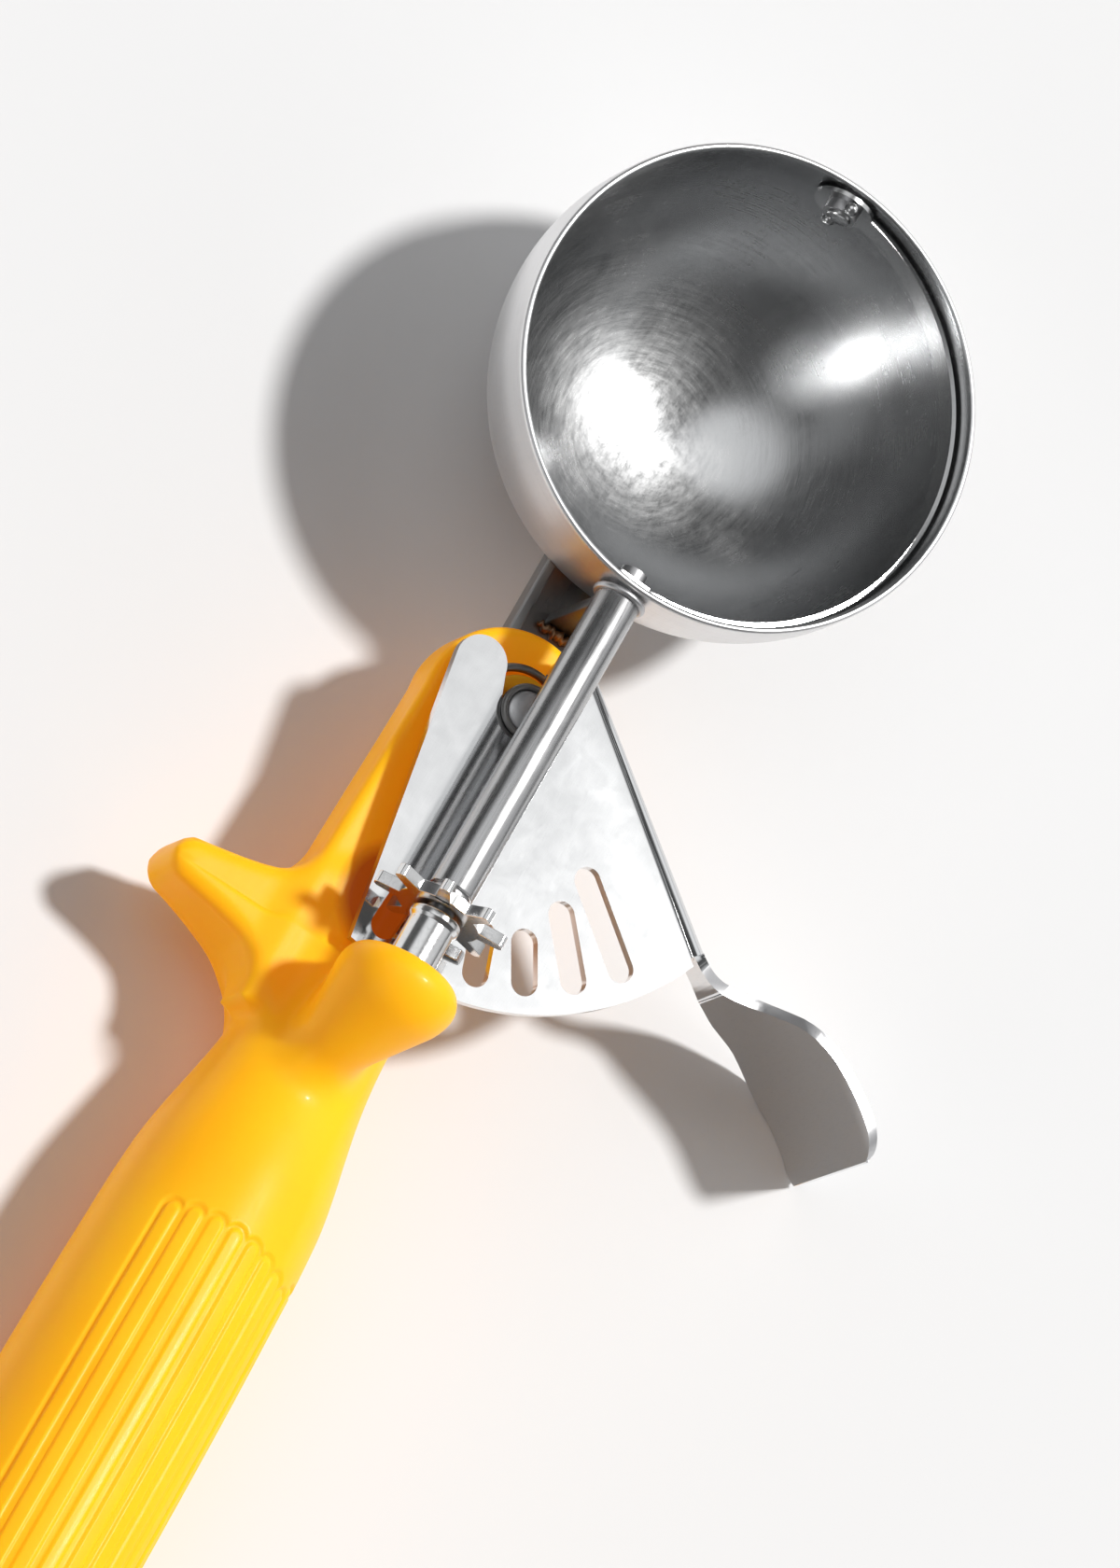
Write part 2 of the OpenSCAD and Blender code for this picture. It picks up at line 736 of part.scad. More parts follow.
module far_pin() {
    head_x = bowl_r + 0.02;
    dome_r = 4;
    color("silver") rotate([0, 90, 0]) rotate_extrude() {
        translate([0, blade_in - hub_len - 0.4]) square([far_pin_r, head_x - blade_in + hub_len + 0.5]);
        intersection() {
            translate([0, head_x]) square([far_head_r, far_head_h]);
            translate([0, head_x + far_head_h - dome_r]) circle(r = dome_r);
        }
    }
}

bowl();
shank_channel();
guide_tube();
tube_bushes();
tube_saddle();
braze_beads();
handle();
rear_sleeve();
spring_bush();
pivot_rivet();
rivet_washer();
torsion_spring();
lever_plate();
pinion();
drive_spindle();
scraper_blade();
near_hub();
far_hub();
ball_rivets();
far_pin();
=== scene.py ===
"""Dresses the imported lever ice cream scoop: moulded grip, spun bowl, sheet lever, drive and scraper."""

import logging
import math
from collections.abc import Sequence
from dataclasses import dataclass
from enum import Enum

import bmesh
import bpy
import numpy as np
from mathutils import Matrix, Vector


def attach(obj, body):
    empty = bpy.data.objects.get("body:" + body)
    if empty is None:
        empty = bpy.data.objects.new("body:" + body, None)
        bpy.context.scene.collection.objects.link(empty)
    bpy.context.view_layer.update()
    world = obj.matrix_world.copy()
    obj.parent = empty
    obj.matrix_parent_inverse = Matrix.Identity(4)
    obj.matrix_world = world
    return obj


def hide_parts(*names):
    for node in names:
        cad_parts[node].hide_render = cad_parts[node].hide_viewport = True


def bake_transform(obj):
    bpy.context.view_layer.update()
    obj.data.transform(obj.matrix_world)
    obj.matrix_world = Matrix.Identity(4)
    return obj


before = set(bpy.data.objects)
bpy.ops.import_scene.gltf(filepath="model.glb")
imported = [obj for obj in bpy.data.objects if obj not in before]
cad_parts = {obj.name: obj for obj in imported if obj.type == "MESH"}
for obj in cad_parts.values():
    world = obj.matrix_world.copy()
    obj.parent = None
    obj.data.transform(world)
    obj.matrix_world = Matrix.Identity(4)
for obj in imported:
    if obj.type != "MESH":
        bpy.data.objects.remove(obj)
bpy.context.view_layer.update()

LOG = logging.getLogger("scoop")
MM = 0.001
FRAME_BODY = "body_frame"
LEVER_BODY = "lever"
SCRAPER_BODY = "scraper"
SHANK_Y = 1.2
TONGUE_TOP = -9.6
PIVOT = (-42.25, 1.2)
RIVET_SHAFT = 1.5
WIRE_SIDES = 16
ON_AXIS = 1e-6
MERGE_REACH = 0.002 * MM
FLAT_ANGLE = math.radians(0.6)


class Axis(Enum):
    """Axis that a turned piece goes round."""

    DRIVE = "along X, towards the bowl"
    UPRIGHT = "along Z"


# ---------------------------------------------------------------- surfaces


def smooth_step(x: np.ndarray, low: float, high: float) -> np.ndarray:
    """Cubic step from 0 at low to 1 at high.

    Args:
        x: where to read the step.
        low: where it leaves 0.
        high: where it reaches 1.

    Returns:
        3t^2 - 2t^3 with t the clipped share of the way from low to high.
    """
    t = np.clip((x - low) / (high - low), 0.0, 1.0)
    return t * t * (3.0 - 2.0 * t)


def curve_through(x: np.ndarray, knots: Sequence[tuple[float, float]]) -> np.ndarray:
    """Smooth curve through knots, as a cubic Hermite spline with averaged slopes.

    Args:
        x: where to read the curve.
        knots: pairs of place and value, in rising order of place.

    Returns:
        The curve's value at each x, held constant outside the knots.
    """
    k = np.array(knots, float)
    px, py = k[:, 0], k[:, 1]
    slope = np.gradient(py, px)
    xc = np.clip(x, px[0], px[-1])
    i = np.clip(np.searchsorted(px, xc, side="right") - 1, 0, len(px) - 2)
    h = px[i + 1] - px[i]
    t = (xc - px[i]) / h
    a, b = (1 + 2 * t) * (1 - t) ** 2, t * (1 - t) ** 2
    c, d = t * t * (3 - 2 * t), t * t * (t - 1)
    return a * py[i] + b * h * slope[i] + c * py[i + 1] + d * h * slope[i + 1]


def soft_min(a: np.ndarray, b: np.ndarray, k: float) -> np.ndarray:
    """Smaller of two distances, blended over a width k so that two forms join in a fillet."""
    h = np.clip(0.5 + 0.5 * (b - a) / k, 0.0, 1.0)
    return b * (1 - h) + a * h - k * h * (1 - h)


def soft_max(a: np.ndarray, b: np.ndarray, k: float) -> np.ndarray:
    """Larger of two distances, blended over a width k so that a cut gets a rounded edge."""
    return -soft_min(-a, -b, k)


def eased_prism(plan: np.ndarray, height: np.ndarray, edge: float) -> np.ndarray:
    """Distance to an upright form, from its distances in plan and in height, joined by a rounding of radius edge."""
    q, w = plan + edge, height + edge
    return np.minimum(np.maximum(q, w), 0) + np.hypot(np.maximum(q, 0), np.maximum(w, 0)) - edge


def tapered_rod(p: np.ndarray, a: tuple, b: tuple, ra: float, rb: float) -> np.ndarray:
    """Distance to a rod whose radius runs from ra at a to rb at b, with round ends.

    Args:
        p: points, last axis of three.
        a: centre of the first end.
        b: centre of the second end.
        ra: radius of the first end.
        rb: radius of the second end.

    Returns:
        The exact signed distance to the two spheres and the cone that touches both.
    """
    a, b = np.array(a, float), np.array(b, float)
    ba = b - a
    l2 = float(ba @ ba)
    rr = ra - rb
    a2 = l2 - rr * rr
    pa = p - a
    y = pa @ ba
    z = y - l2
    x2 = ((pa * l2 - y[..., None] * ba) ** 2).sum(-1)
    y2, z2 = y * y * l2, z * z * l2
    k = math.copysign(1.0, rr) * rr * rr * x2
    cone = (np.sqrt(x2 * a2 / l2) + y * rr) / l2 - ra
    far = np.sqrt(x2 + z2) / l2 - rb
    near = np.sqrt(x2 + y2) / l2 - ra
    return np.where(np.sign(z) * a2 * z2 > k, far, np.where(np.sign(y) * a2 * y2 < k, near, cone))


def put_mesh(
    name: str, points: np.ndarray, quads: np.ndarray, tris: np.ndarray | None = None
) -> bpy.types.Object:
    """Makes a smooth-shaded object from whole arrays.

    Args:
        name: the object's name.
        points: vertices in millimetres, one row each.
        quads: four indices a row.
        tris: three indices a row, if there are any.

    Returns:
        The object, at the origin, with its place in its mesh.
    """
    tris = np.zeros((0, 3), int) if tris is None else tris
    mesh = bpy.data.meshes.new(name)
    loops = np.concatenate([quads.reshape(-1), tris.reshape(-1)]).astype(np.int32)
    starts = np.concatenate([np.arange(len(quads)) * 4, len(quads) * 4 + np.arange(len(tris)) * 3])
    mesh.vertices.add(len(points))
    mesh.vertices.foreach_set("co", (points * MM).astype(np.float32).reshape(-1))
    mesh.loops.add(len(loops))
    mesh.loops.foreach_set("vertex_index", loops)
    mesh.polygons.add(len(starts))
    mesh.polygons.foreach_set("loop_start", starts.astype(np.int32))
    mesh.polygons.foreach_set("use_smooth", np.ones(len(starts), bool))
    mesh.update(calc_edges=True)
    mesh.validate()
    obj = bpy.data.objects.new(name, mesh)
    bpy.context.scene.collection.objects.link(obj)
    return obj


def put_grid(name: str, grid: np.ndarray, loop: bool = False) -> bpy.types.Object:
    """Skins a grid of points whose rows close on themselves.

    Args:
        name: the object's name.
        grid: (rows, columns, 3) points in millimetres.
        loop: whether the last row joins the first. If it doesn't, both are closed to their mean point.

    Returns:
        The object, with its faces turned outwards.
    """
    m, n = grid.shape[:2]
    i, j = np.meshgrid(np.arange(m if loop else m - 1), np.arange(n), indexing="ij")
    i2, j2 = (i + 1) % m, (j + 1) % n
    quads = np.stack([i * n + j, i * n + j2, i2 * n + j2, i2 * n + j], -1).reshape(-1, 4)
    points = grid.reshape(-1, 3)
    tris = None
    if not loop:
        points = np.vstack([points, grid[0].mean(0), grid[-1].mean(0)])
        a = np.arange(n)
        b = (a + 1) % n
        first = np.stack([b, a, np.full(n, m * n)], -1)
        last = np.stack([(m - 1) * n + a, (m - 1) * n + b, np.full(n, m * n + 1)], -1)
        tris = np.vstack([first, last])
    obj = put_mesh(name, points, quads, tris)
    face_outwards(obj)
    return obj


def face_outwards(obj: bpy.types.Object) -> None:
    """Turns a closed mesh's faces outwards.

    Args:
        obj: the object that has the mesh.
    """
    bm = bmesh.new()
    bm.from_mesh(obj.data)
    bmesh.ops.recalc_face_normals(bm, faces=bm.faces)
    if bm.calc_volume(signed=True) < 0:
        bmesh.ops.reverse_faces(bm, faces=bm.faces)
    bm.to_mesh(obj.data)
    bm.free()


def put_turned(
    name: str, outline: np.ndarray, axis: Axis, columns: int, centre: tuple = (0, 0, 0)
) -> bpy.types.Object:
    """Turns a half outline round an axis.

    Args:
        name: the object's name.
        outline: rows of (place along the axis, radius), in order round the wall. One that starts and ends
            on the axis gives a solid piece, any other a ring.
        axis: the axis' direction.
        columns: how many steps go round.
        centre: a point on the axis, in millimetres.

    Returns:
        The turned object: place + radius (cos t, sin t) for t round the circle.
    """
    t = np.linspace(0, 2 * np.pi, columns, endpoint=False)
    s, r = outline[:, :1], outline[:, 1:]
    along = np.repeat(s, columns, 1)
    u, v = r * np.cos(t), r * np.sin(t)
    grid = np.stack([along, u, v] if axis is Axis.DRIVE else [u, v, along], -1) + np.array(centre)
    if outline[0, 1] < ON_AXIS:
        return put_grid(name, grid[1:-1])
    return put_grid(name, grid, loop=True)


def rounded_path(corners: Sequence[tuple[float, float, float]], steps: int, closed: bool = True) -> np.ndarray:
    """Flat path with rounded corners.

    Args:
        corners: (u, v, radius) of each corner.
        steps: how many points a rounding gets.
        closed: whether the last corner joins the first.

    Returns:
        The path's points: at each corner an arc that touches both of its sides.
    """
    pts: list[np.ndarray] = []
    count = len(corners)
    for i, (u, v, r) in enumerate(corners):
        p = np.array([u, v])
        if r <= 0 or (not closed and i in (0, count - 1)):
            pts.append(p[None])
            continue
        a = np.array(corners[i - 1][:2]) - p
        b = np.array(corners[(i + 1) % count][:2]) - p
        a, b = a / np.linalg.norm(a), b / np.linalg.norm(b)
        half = math.acos(float(np.clip(a @ b, -1, 1))) / 2
        centre = p + (a + b) / np.linalg.norm(a + b) * r / math.sin(half)
        start, end = p + a * r / math.tan(half) - centre, p + b * r / math.tan(half) - centre
        a0, a1 = math.atan2(start[1], start[0]), math.atan2(end[1], end[0])
        turn = (a1 - a0 + math.pi) % (2 * math.pi) - math.pi
        t = a0 + turn * np.linspace(0, 1, steps)
        pts.append(centre + r * np.stack([np.cos(t), np.sin(t)], -1))
    return np.vstack(pts)


def put_swept(name: str, path: np.ndarray, radius: float) -> bpy.types.Object:
    """Round wire along a path.

    Args:
        name: the object's name.
        path: the wire's centre line, in millimetres.
        radius: the wire's radius.

    Returns:
        The wire: each ring stands square to the path, its side axis is the path crossed with Z.
    """
    tangent = np.gradient(path, axis=0)
    tangent /= np.linalg.norm(tangent, axis=1, keepdims=True)
    side = np.cross(tangent, [0.0, 0.0, 1.0])
    side /= np.linalg.norm(side, axis=1, keepdims=True)
    up = np.cross(side, tangent)
    t = np.linspace(0, 2 * np.pi, WIRE_SIDES, endpoint=False)
    ring = np.cos(t)[None, :, None] * side[:, None] + np.sin(t)[None, :, None] * up[:, None]
    return put_grid(name, path[:, None] + radius * ring)


def dressed_copy(node: str, name: str, edge: float, angle: float) -> bpy.types.Object:
    """Copy of a CAD node with merged faces and softened edges.

    Args:
        node: the CAD node's name.
        name: the new piece's name.
        edge: width of the softened edge in millimetres.
        angle: edges sharper than this many degrees are softened.

    Returns:
        The copy, with a live Bevel modifier.
    """
    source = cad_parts[node]
    obj = bpy.data.objects.new(name, source.data.copy())
    bpy.context.scene.collection.objects.link(obj)
    obj.data.materials.clear()
    bm = bmesh.new()
    bm.from_mesh(obj.data)
    bmesh.ops.remove_doubles(bm, verts=bm.verts, dist=MERGE_REACH)
    bmesh.ops.dissolve_limit(bm, angle_limit=FLAT_ANGLE, verts=bm.verts, edges=bm.edges)
    for face in bm.faces:
        face.smooth = True
    bm.to_mesh(obj.data)
    bm.free()
    obj.data.set_sharp_from_angle(angle=math.radians(angle))
    bevel = obj.modifiers.new("edges", "BEVEL")
    bevel.width = edge * MM
    bevel.segments = 2
    bevel.limit_method = "ANGLE"
    bevel.angle_limit = math.radians(angle)
    bevel.harden_normals = True
    bevel.use_clamp_overlap = True
    return obj


def read_points(mesh: bpy.types.Mesh) -> np.ndarray:
    """Reads a mesh's vertices.

    Args:
        mesh: the mesh.

    Returns:
        Their places in millimetres, one row each.
    """
    co = np.empty(len(mesh.vertices) * 3)
    mesh.vertices.foreach_get("co", co)
    return co.reshape(-1, 3) / MM


def write_points(mesh: bpy.types.Mesh, points: np.ndarray) -> None:
    """Moves a mesh's vertices to points in millimetres."""
    mesh.vertices.foreach_set("co", (points * MM).reshape(-1))
    mesh.update()


# ---------------------------------------------------------------- finishes


def add_node(tree: bpy.types.NodeTree, kind: str, **values: object) -> bpy.types.Node:
    """Adds a shader node.

    Args:
        tree: the node tree.
        kind: the node's type name without its prefix.
        values: node attributes, and inputs named in_NAME or in_NUMBER; a socket is linked.

    Returns:
        The node.
    """
    node = tree.nodes.new("ShaderNode" + kind)
    for key, value in values.items():
        if not key.startswith("in_"):
            setattr(node, key, value)
            continue
        label = key[3:].replace("_", " ")
        socket = node.inputs[int(label)] if label.isdigit() else node.inputs[label]
        if isinstance(value, bpy.types.NodeSocket):
            tree.links.new(value, socket)
        else:
            socket.default_value = value
    return node


class Recipe:
    """A node material that is being put together."""

    def __init__(self, name: str) -> None:
        """Starts an empty node material with an output.

        Args:
            name: the material's name.
        """
        self.material = bpy.data.materials.new(name)
        self.material.use_nodes = True
        self.tree = self.material.node_tree
        self.tree.nodes.clear()
        self.output = self.add("OutputMaterial")
        self.place = self.add("TexCoord").outputs["Object"]

    def add(self, kind: str, **values: object) -> bpy.types.Node:
        """Adds a node to the material, as add_node does."""
        return add_node(self.tree, kind, **values)

    def math(self, operation: str, a: object, b: object) -> bpy.types.NodeSocket:
        """One arithmetic step on two values or sockets."""
        return self.add("Math", operation=operation, in_0=a, in_1=b).outputs[0]

    def reach(self, a: object, b: tuple = (0, 0, 0)) -> bpy.types.NodeSocket:
        """Distance between a place and a fixed point."""
        return self.add("VectorMath", operation="DISTANCE", in_0=a, in_1=b).outputs["Value"]

    def sum_of(self, a: object, share: float, b: object, rest: float) -> bpy.types.NodeSocket:
        """Two values, each taken with its share, added up."""
        return self.math("ADD", self.math("MULTIPLY", a, share), self.math("MULTIPLY", b, rest))

    def noise(
        self, where: object, scale: float, detail: float, rough: float = 0.5, warp: float = 0.0
    ) -> bpy.types.NodeSocket:
        """Noise between 0 and 1 at a place."""
        node = self.add("TexNoise", in_Vector=where, in_Scale=scale, in_Detail=detail, in_Roughness=rough,
                        in_Distortion=warp)
        return node.outputs["Fac"]

    def stretch(self, scale: tuple, turn: tuple = (0, 0, 0), where: object = None) -> bpy.types.NodeSocket:
        """Object coordinates, or another place, turned and scaled along each axis."""
        return self.add("Mapping", in_Vector=where or self.place, in_Rotation=turn, in_Scale=scale).outputs[0]

    def remap(
        self, value: object, low: float, high: float, to_low: float, to_high: float
    ) -> bpy.types.NodeSocket:
        """Value carried from one span to another, clamped."""
        return self.add("MapRange", in_Value=value, in_1=low, in_2=high, in_3=to_low, in_4=to_high).outputs[0]

    def blend(self, share: object, a: object, b: object) -> bpy.types.NodeSocket:
        """Colour between a and b."""
        return self.add("Mix", data_type="RGBA", in_0=share, in_6=a, in_7=b).outputs[2]

    def bump(
        self, height: object, strength: float, depth: float, under: object = None
    ) -> bpy.types.NodeSocket:
        """Normal bent by a height, in millimetres of depth."""
        extra = {"in_Normal": under} if under is not None else {}
        return self.add("Bump", in_Strength=strength, in_Distance=depth * MM, in_Height=height, **extra).outputs[0]

    def finish(self, **values: object) -> bpy.types.Material:
        """Ends the material in a Principled shader.

        Args:
            values: the shader's inputs, named as add_node says.

        Returns:
            The material.
        """
        shader = self.add("BsdfPrincipled", **values)
        self.tree.links.new(shader.outputs[0], self.output.inputs["Surface"])
        return self.material


def rgb(r: float, g: float, b: float) -> tuple[float, float, float, float]:
    """Opaque colour."""
    return (r, g, b, 1.0)


@dataclass(frozen=True)
class MouldedPlastic:
    """Glossy, slightly see-through moulded plastic, lit by a painted orange glow, with a spot of painted dark shade
    where there is one. Places in metres.
    """

    name: str
    light: tuple
    deep: tuple
    depth: float
    glow: float
    spot: tuple | None = None
    spot_inner: float = 0.0055
    spot_outer: float = 0.0075
    painted_shade: tuple = rgb(0.055, 0.028, 0.012)
    bleed: tuple = (1.0, 0.45, 0.1)
    bleed_reach: float = 0.003
    painted_glow_tint: tuple = rgb(1.0, 0.13, 0.001)
    dull_from: float = -0.105
    dull_to: float = -0.113
    coat_dull: float = 0.012
    coat_clear: float = 0.075

    def make(self) -> bpy.types.Material:
        """Slow colour drift, a faint moulding wave and hairlines in the gloss, with a painted orange glow from its
        emission.

        Returns:
            The material. Its clear coat is thinner on the ribbed part, past dull_to.
        """
        r = Recipe(self.name)
        drift = r.noise(r.place, 60, 2)
        colour = r.blend(r.remap(drift, 0.3, 0.7, 0, 1), self.light, self.deep)
        wave = r.noise(r.place, 110, 1)
        hairlines = r.noise(r.stretch((900, 14000, 14000)), 0.35, 3, 0.6)
        rough = r.remap(hairlines, 0.35, 0.75, 0.38, 0.48)
        # Painted shade: a dark brown patch round the spot, for the shade on the tongue under the lever's slot.
        if self.spot:
            share = r.remap(r.reach(r.place, self.spot), self.spot_inner, self.spot_outer, 0.95, 0.0)
            colour = r.blend(share, colour, self.painted_shade)
        normal = r.bump(hairlines, 0.10, 0.01, r.bump(wave, 0.20, 0.10))
        along = r.add("SeparateXYZ", in_0=r.place).outputs[0]
        coat = r.remap(along, self.dull_to, self.dull_from, self.coat_dull, self.coat_clear)
        return r.finish(
            in_Base_Color=colour,
            in_Roughness=rough,
            in_Normal=normal,
            in_Subsurface_Weight=self.depth,
            in_Subsurface_Radius=self.bleed,
            in_Subsurface_Scale=self.bleed_reach,
            in_IOR=1.42,
            in_Specular_IOR_Level=0.20,
            in_Coat_Weight=coat,
            in_Coat_Roughness=0.06,
            # Painted glow: the emission lights the plastic orange, standing in for light that shines through it.
            in_Emission_Color=self.painted_glow_tint,
            in_Emission_Strength=self.glow,
        )


class Grain(Enum):
    """How a metal surface was worked."""

    ROUND = "turned in rings about the bowl's upright axis"
    ALONG = "drawn along the drive axis"
    ROLLED = "rolled sheet with hairlines and rubbed spots"
    PLAIN = "tumbled, without direction"


@dataclass(frozen=True)
class Steel:
    """Worked steel: its lines add spread to its roughness and bite to its relief, streak draws its highlights out."""

    name: str
    colour: tuple
    grain: Grain
    rough: float
    spread: float
    bite: float
    streak: float = 0.0
    line_shade: float = 0.72
    line_depth: float = 0.012
    patch_depth: float = 0.05

    def _pattern(self, r: Recipe) -> tuple[object, object]:
        """Fine lines and slow patches of this grain.

        Args:
            r: the material being made.

        Returns:
            Two values between 0 and 1: the worked lines, and the patches that gather them.
        """
        patches = r.noise(r.place, 320 if self.grain is Grain.ROLLED else 90, 4, 0.6, 0.6)
        if self.grain is Grain.ROUND:
            parts = r.add("SeparateXYZ", in_0=r.place).outputs
            turn = r.math("MULTIPLY", r.math("ARCTAN2", parts[1], parts[0]), 0.004)
            rings = r.add("CombineXYZ", in_X=turn, in_Y=parts[2], in_Z=r.reach(r.place)).outputs[0]
            lines = r.noise(r.stretch((900, 5200, 900), where=rings), 1.0, 6, 0.7)
            swirl = r.noise(r.stretch((420, 1600, 420), (0.5, 0.9, 0.3)), 0.9, 5, 0.75, 0.4)
            return r.sum_of(lines, 0.65, swirl, 0.35), patches
        if self.grain is Grain.ALONG:
            return r.noise(r.stretch((160, 5200, 5200)), 1.0, 5, 0.7), patches
        if self.grain is Grain.ROLLED:
            one = r.noise(r.stretch((420, 9000, 900), (0, 0, 0.95)), 1.0, 4, 0.75, 0.3)
            two = r.noise(r.stretch((9000, 520, 900), (0, 0, 0.55)), 1.0, 4, 0.75, 0.3)
            return r.sum_of(one, 0.6, two, 0.4), patches
        return r.noise(r.place, 2600, 5, 0.7), patches

    def make(self) -> bpy.types.Material:
        """Metal whose roughness and relief follow its worked lines and rubbed patches.

        Returns:
            The material.
        """
        r = Recipe(self.name)
        lines, patches = self._pattern(r)
        worn = r.math("MULTIPLY", r.remap(patches, 0.35, 0.7, 0.0, 1.0), self.spread * 0.6)
        rough = r.math("ADD", r.remap(lines, 0.3, 0.72, self.rough, self.rough + self.spread), worn)
        shade = tuple(c * self.line_shade for c in self.colour[:3]) + (1.0,)
        colour = r.blend(r.remap(lines, 0.5, 0.85, 0.0, 0.55), self.colour, shade)
        relief = 0.03 if self.grain is Grain.ROLLED else 0.10
        normal = r.bump(patches, relief, self.patch_depth, r.bump(lines, self.bite, self.line_depth))
        values = {"in_Base_Color": colour, "in_Metallic": 1.0, "in_Roughness": rough, "in_Normal": normal}
        if self.streak:
            values["in_Tangent"] = r.add("Tangent", direction_type="RADIAL", axis="Z").outputs[0]
            values["in_Anisotropic"] = self.streak
            values["in_Anisotropic_Rotation"] = 0.25
        return r.finish(**values)


@dataclass(frozen=True)
class Bronze:
    """Dull brazing bronze with heat stains."""

    name: str
    clean: tuple
    stained: tuple

    def make(self) -> bpy.types.Material:
        """Lumpy bronze-brown, darkened in slow patches.

        Returns:
            The material.
        """
        r = Recipe(self.name)
        lumps = r.noise(r.place, 1300, 5, 0.65)
        stain = r.noise(r.place, 420, 4, 0.6)
        colour = r.blend(r.remap(stain, 0.35, 0.65, 0, 1), self.clean, self.stained)
        rough = r.remap(lumps, 0.3, 0.7, 0.28, 0.55)
        return r.finish(
            in_Base_Color=colour, in_Metallic=0.85, in_Roughness=rough, in_Normal=r.bump(lumps, 0.6, 0.12)
        )


class Palette:
    """Every finish of the scoop, made once."""

    def __init__(self) -> None:
        """Makes the materials."""
        # The grip's emission is a painted glow that stands in for light through the plastic.
        self.grip = MouldedPlastic(
            # Its last argument is the spot of painted dark shade on the tongue, under the lever's slot.
            "grip_plastic", rgb(1.0, 0.60, 0.014), rgb(1.0, 0.545, 0.010), 0.4, 0.25, (-0.0675, 0.0020, -0.0096)
        ).make()
        # The bush's darker mustard colour is painted shade, a shaded copy of the grip plastic; its small emission is a
        # painted glow.
        self.bush = MouldedPlastic(
            "bush_plastic", rgb(0.80, 0.42, 0.012), rgb(0.66, 0.33, 0.010), 0.2, 0.05
        ).make()
        self.bowl = Steel(
            "bowl_steel", rgb(0.56, 0.565, 0.57), Grain.ROUND, rough=0.140, spread=0.13, bite=0.90, streak=0.80
        ).make()
        # The back's rougher grain is real satin; its lighter colour is a painted brightening that stands in for
        # reflected light.
        self.bowl_back = Steel(
            "bowl_back", rgb(0.80, 0.80, 0.805), Grain.ROUND, rough=0.30, spread=0.12, bite=0.25
        ).make()
        self.plate = Steel(
            "polished_plate", rgb(0.74, 0.745, 0.75), Grain.ROLLED, rough=0.051, spread=0.012, bite=0.11
        ).make()
        # The channel steel's dark colour is painted shade for the shadowed strip beside the tube; its drawn lines and
        # rubbed patches are real wear.
        self.worn = Steel(
            "channel_painted_shade", rgb(0.40, 0.395, 0.39), Grain.ALONG, rough=0.20, spread=0.16, bite=0.3
        ).make()
        self.tube = Steel(
            "drawn_tube", rgb(0.50, 0.50, 0.505), Grain.ALONG, rough=0.14, spread=0.16, bite=0.25
        ).make()
        self.bright = Steel(
            "bright_steel", rgb(0.80, 0.80, 0.80), Grain.PLAIN, rough=0.12, spread=0.10, bite=0.12
        ).make()
        self.satin = Steel(
            "satin_steel", rgb(0.60, 0.60, 0.61), Grain.PLAIN, rough=0.26, spread=0.16, bite=0.2
        ).make()
        self.dark = Steel(
            "dark_steel", rgb(0.26, 0.255, 0.25), Grain.PLAIN, rough=0.24, spread=0.18, bite=0.25
        ).make()
        self.bronze = Bronze("braze_bronze", rgb(0.42, 0.25, 0.13), rgb(0.13, 0.085, 0.06)).make()


def settle(
    obj: bpy.types.Object, finish: bpy.types.Material, slot: str, body: str, *nodes: str
) -> None:
    """Gives a piece its finish, its body, and the CAD nodes that it stands for.

    Args:
        obj: the piece.
        finish: its material.
        slot: not used.
        body: the body it rides on, or nothing for a piece that rides on none.
        nodes: the CAD nodes that it replaces.
    """
    obj.data.materials.clear()
    obj.data.materials.append(finish)
    if body:
        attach(obj, body)
    if nodes:
        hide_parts(*nodes)
    LOG.info("%s: %d faces, %s", obj.name, len(obj.data.polygons), body or "between two bodies")


def paint_node(node: str, finish: bpy.types.Material) -> None:
    """Gives a CAD node that stays in view a finish.

    Args:
        node: the node's name.
        finish: its material.
    """
    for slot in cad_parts[node].material_slots:
        slot.material = finish
    LOG.info("%s: %s", node, finish.name)


# ---------------------------------------------------------------- moulded handle


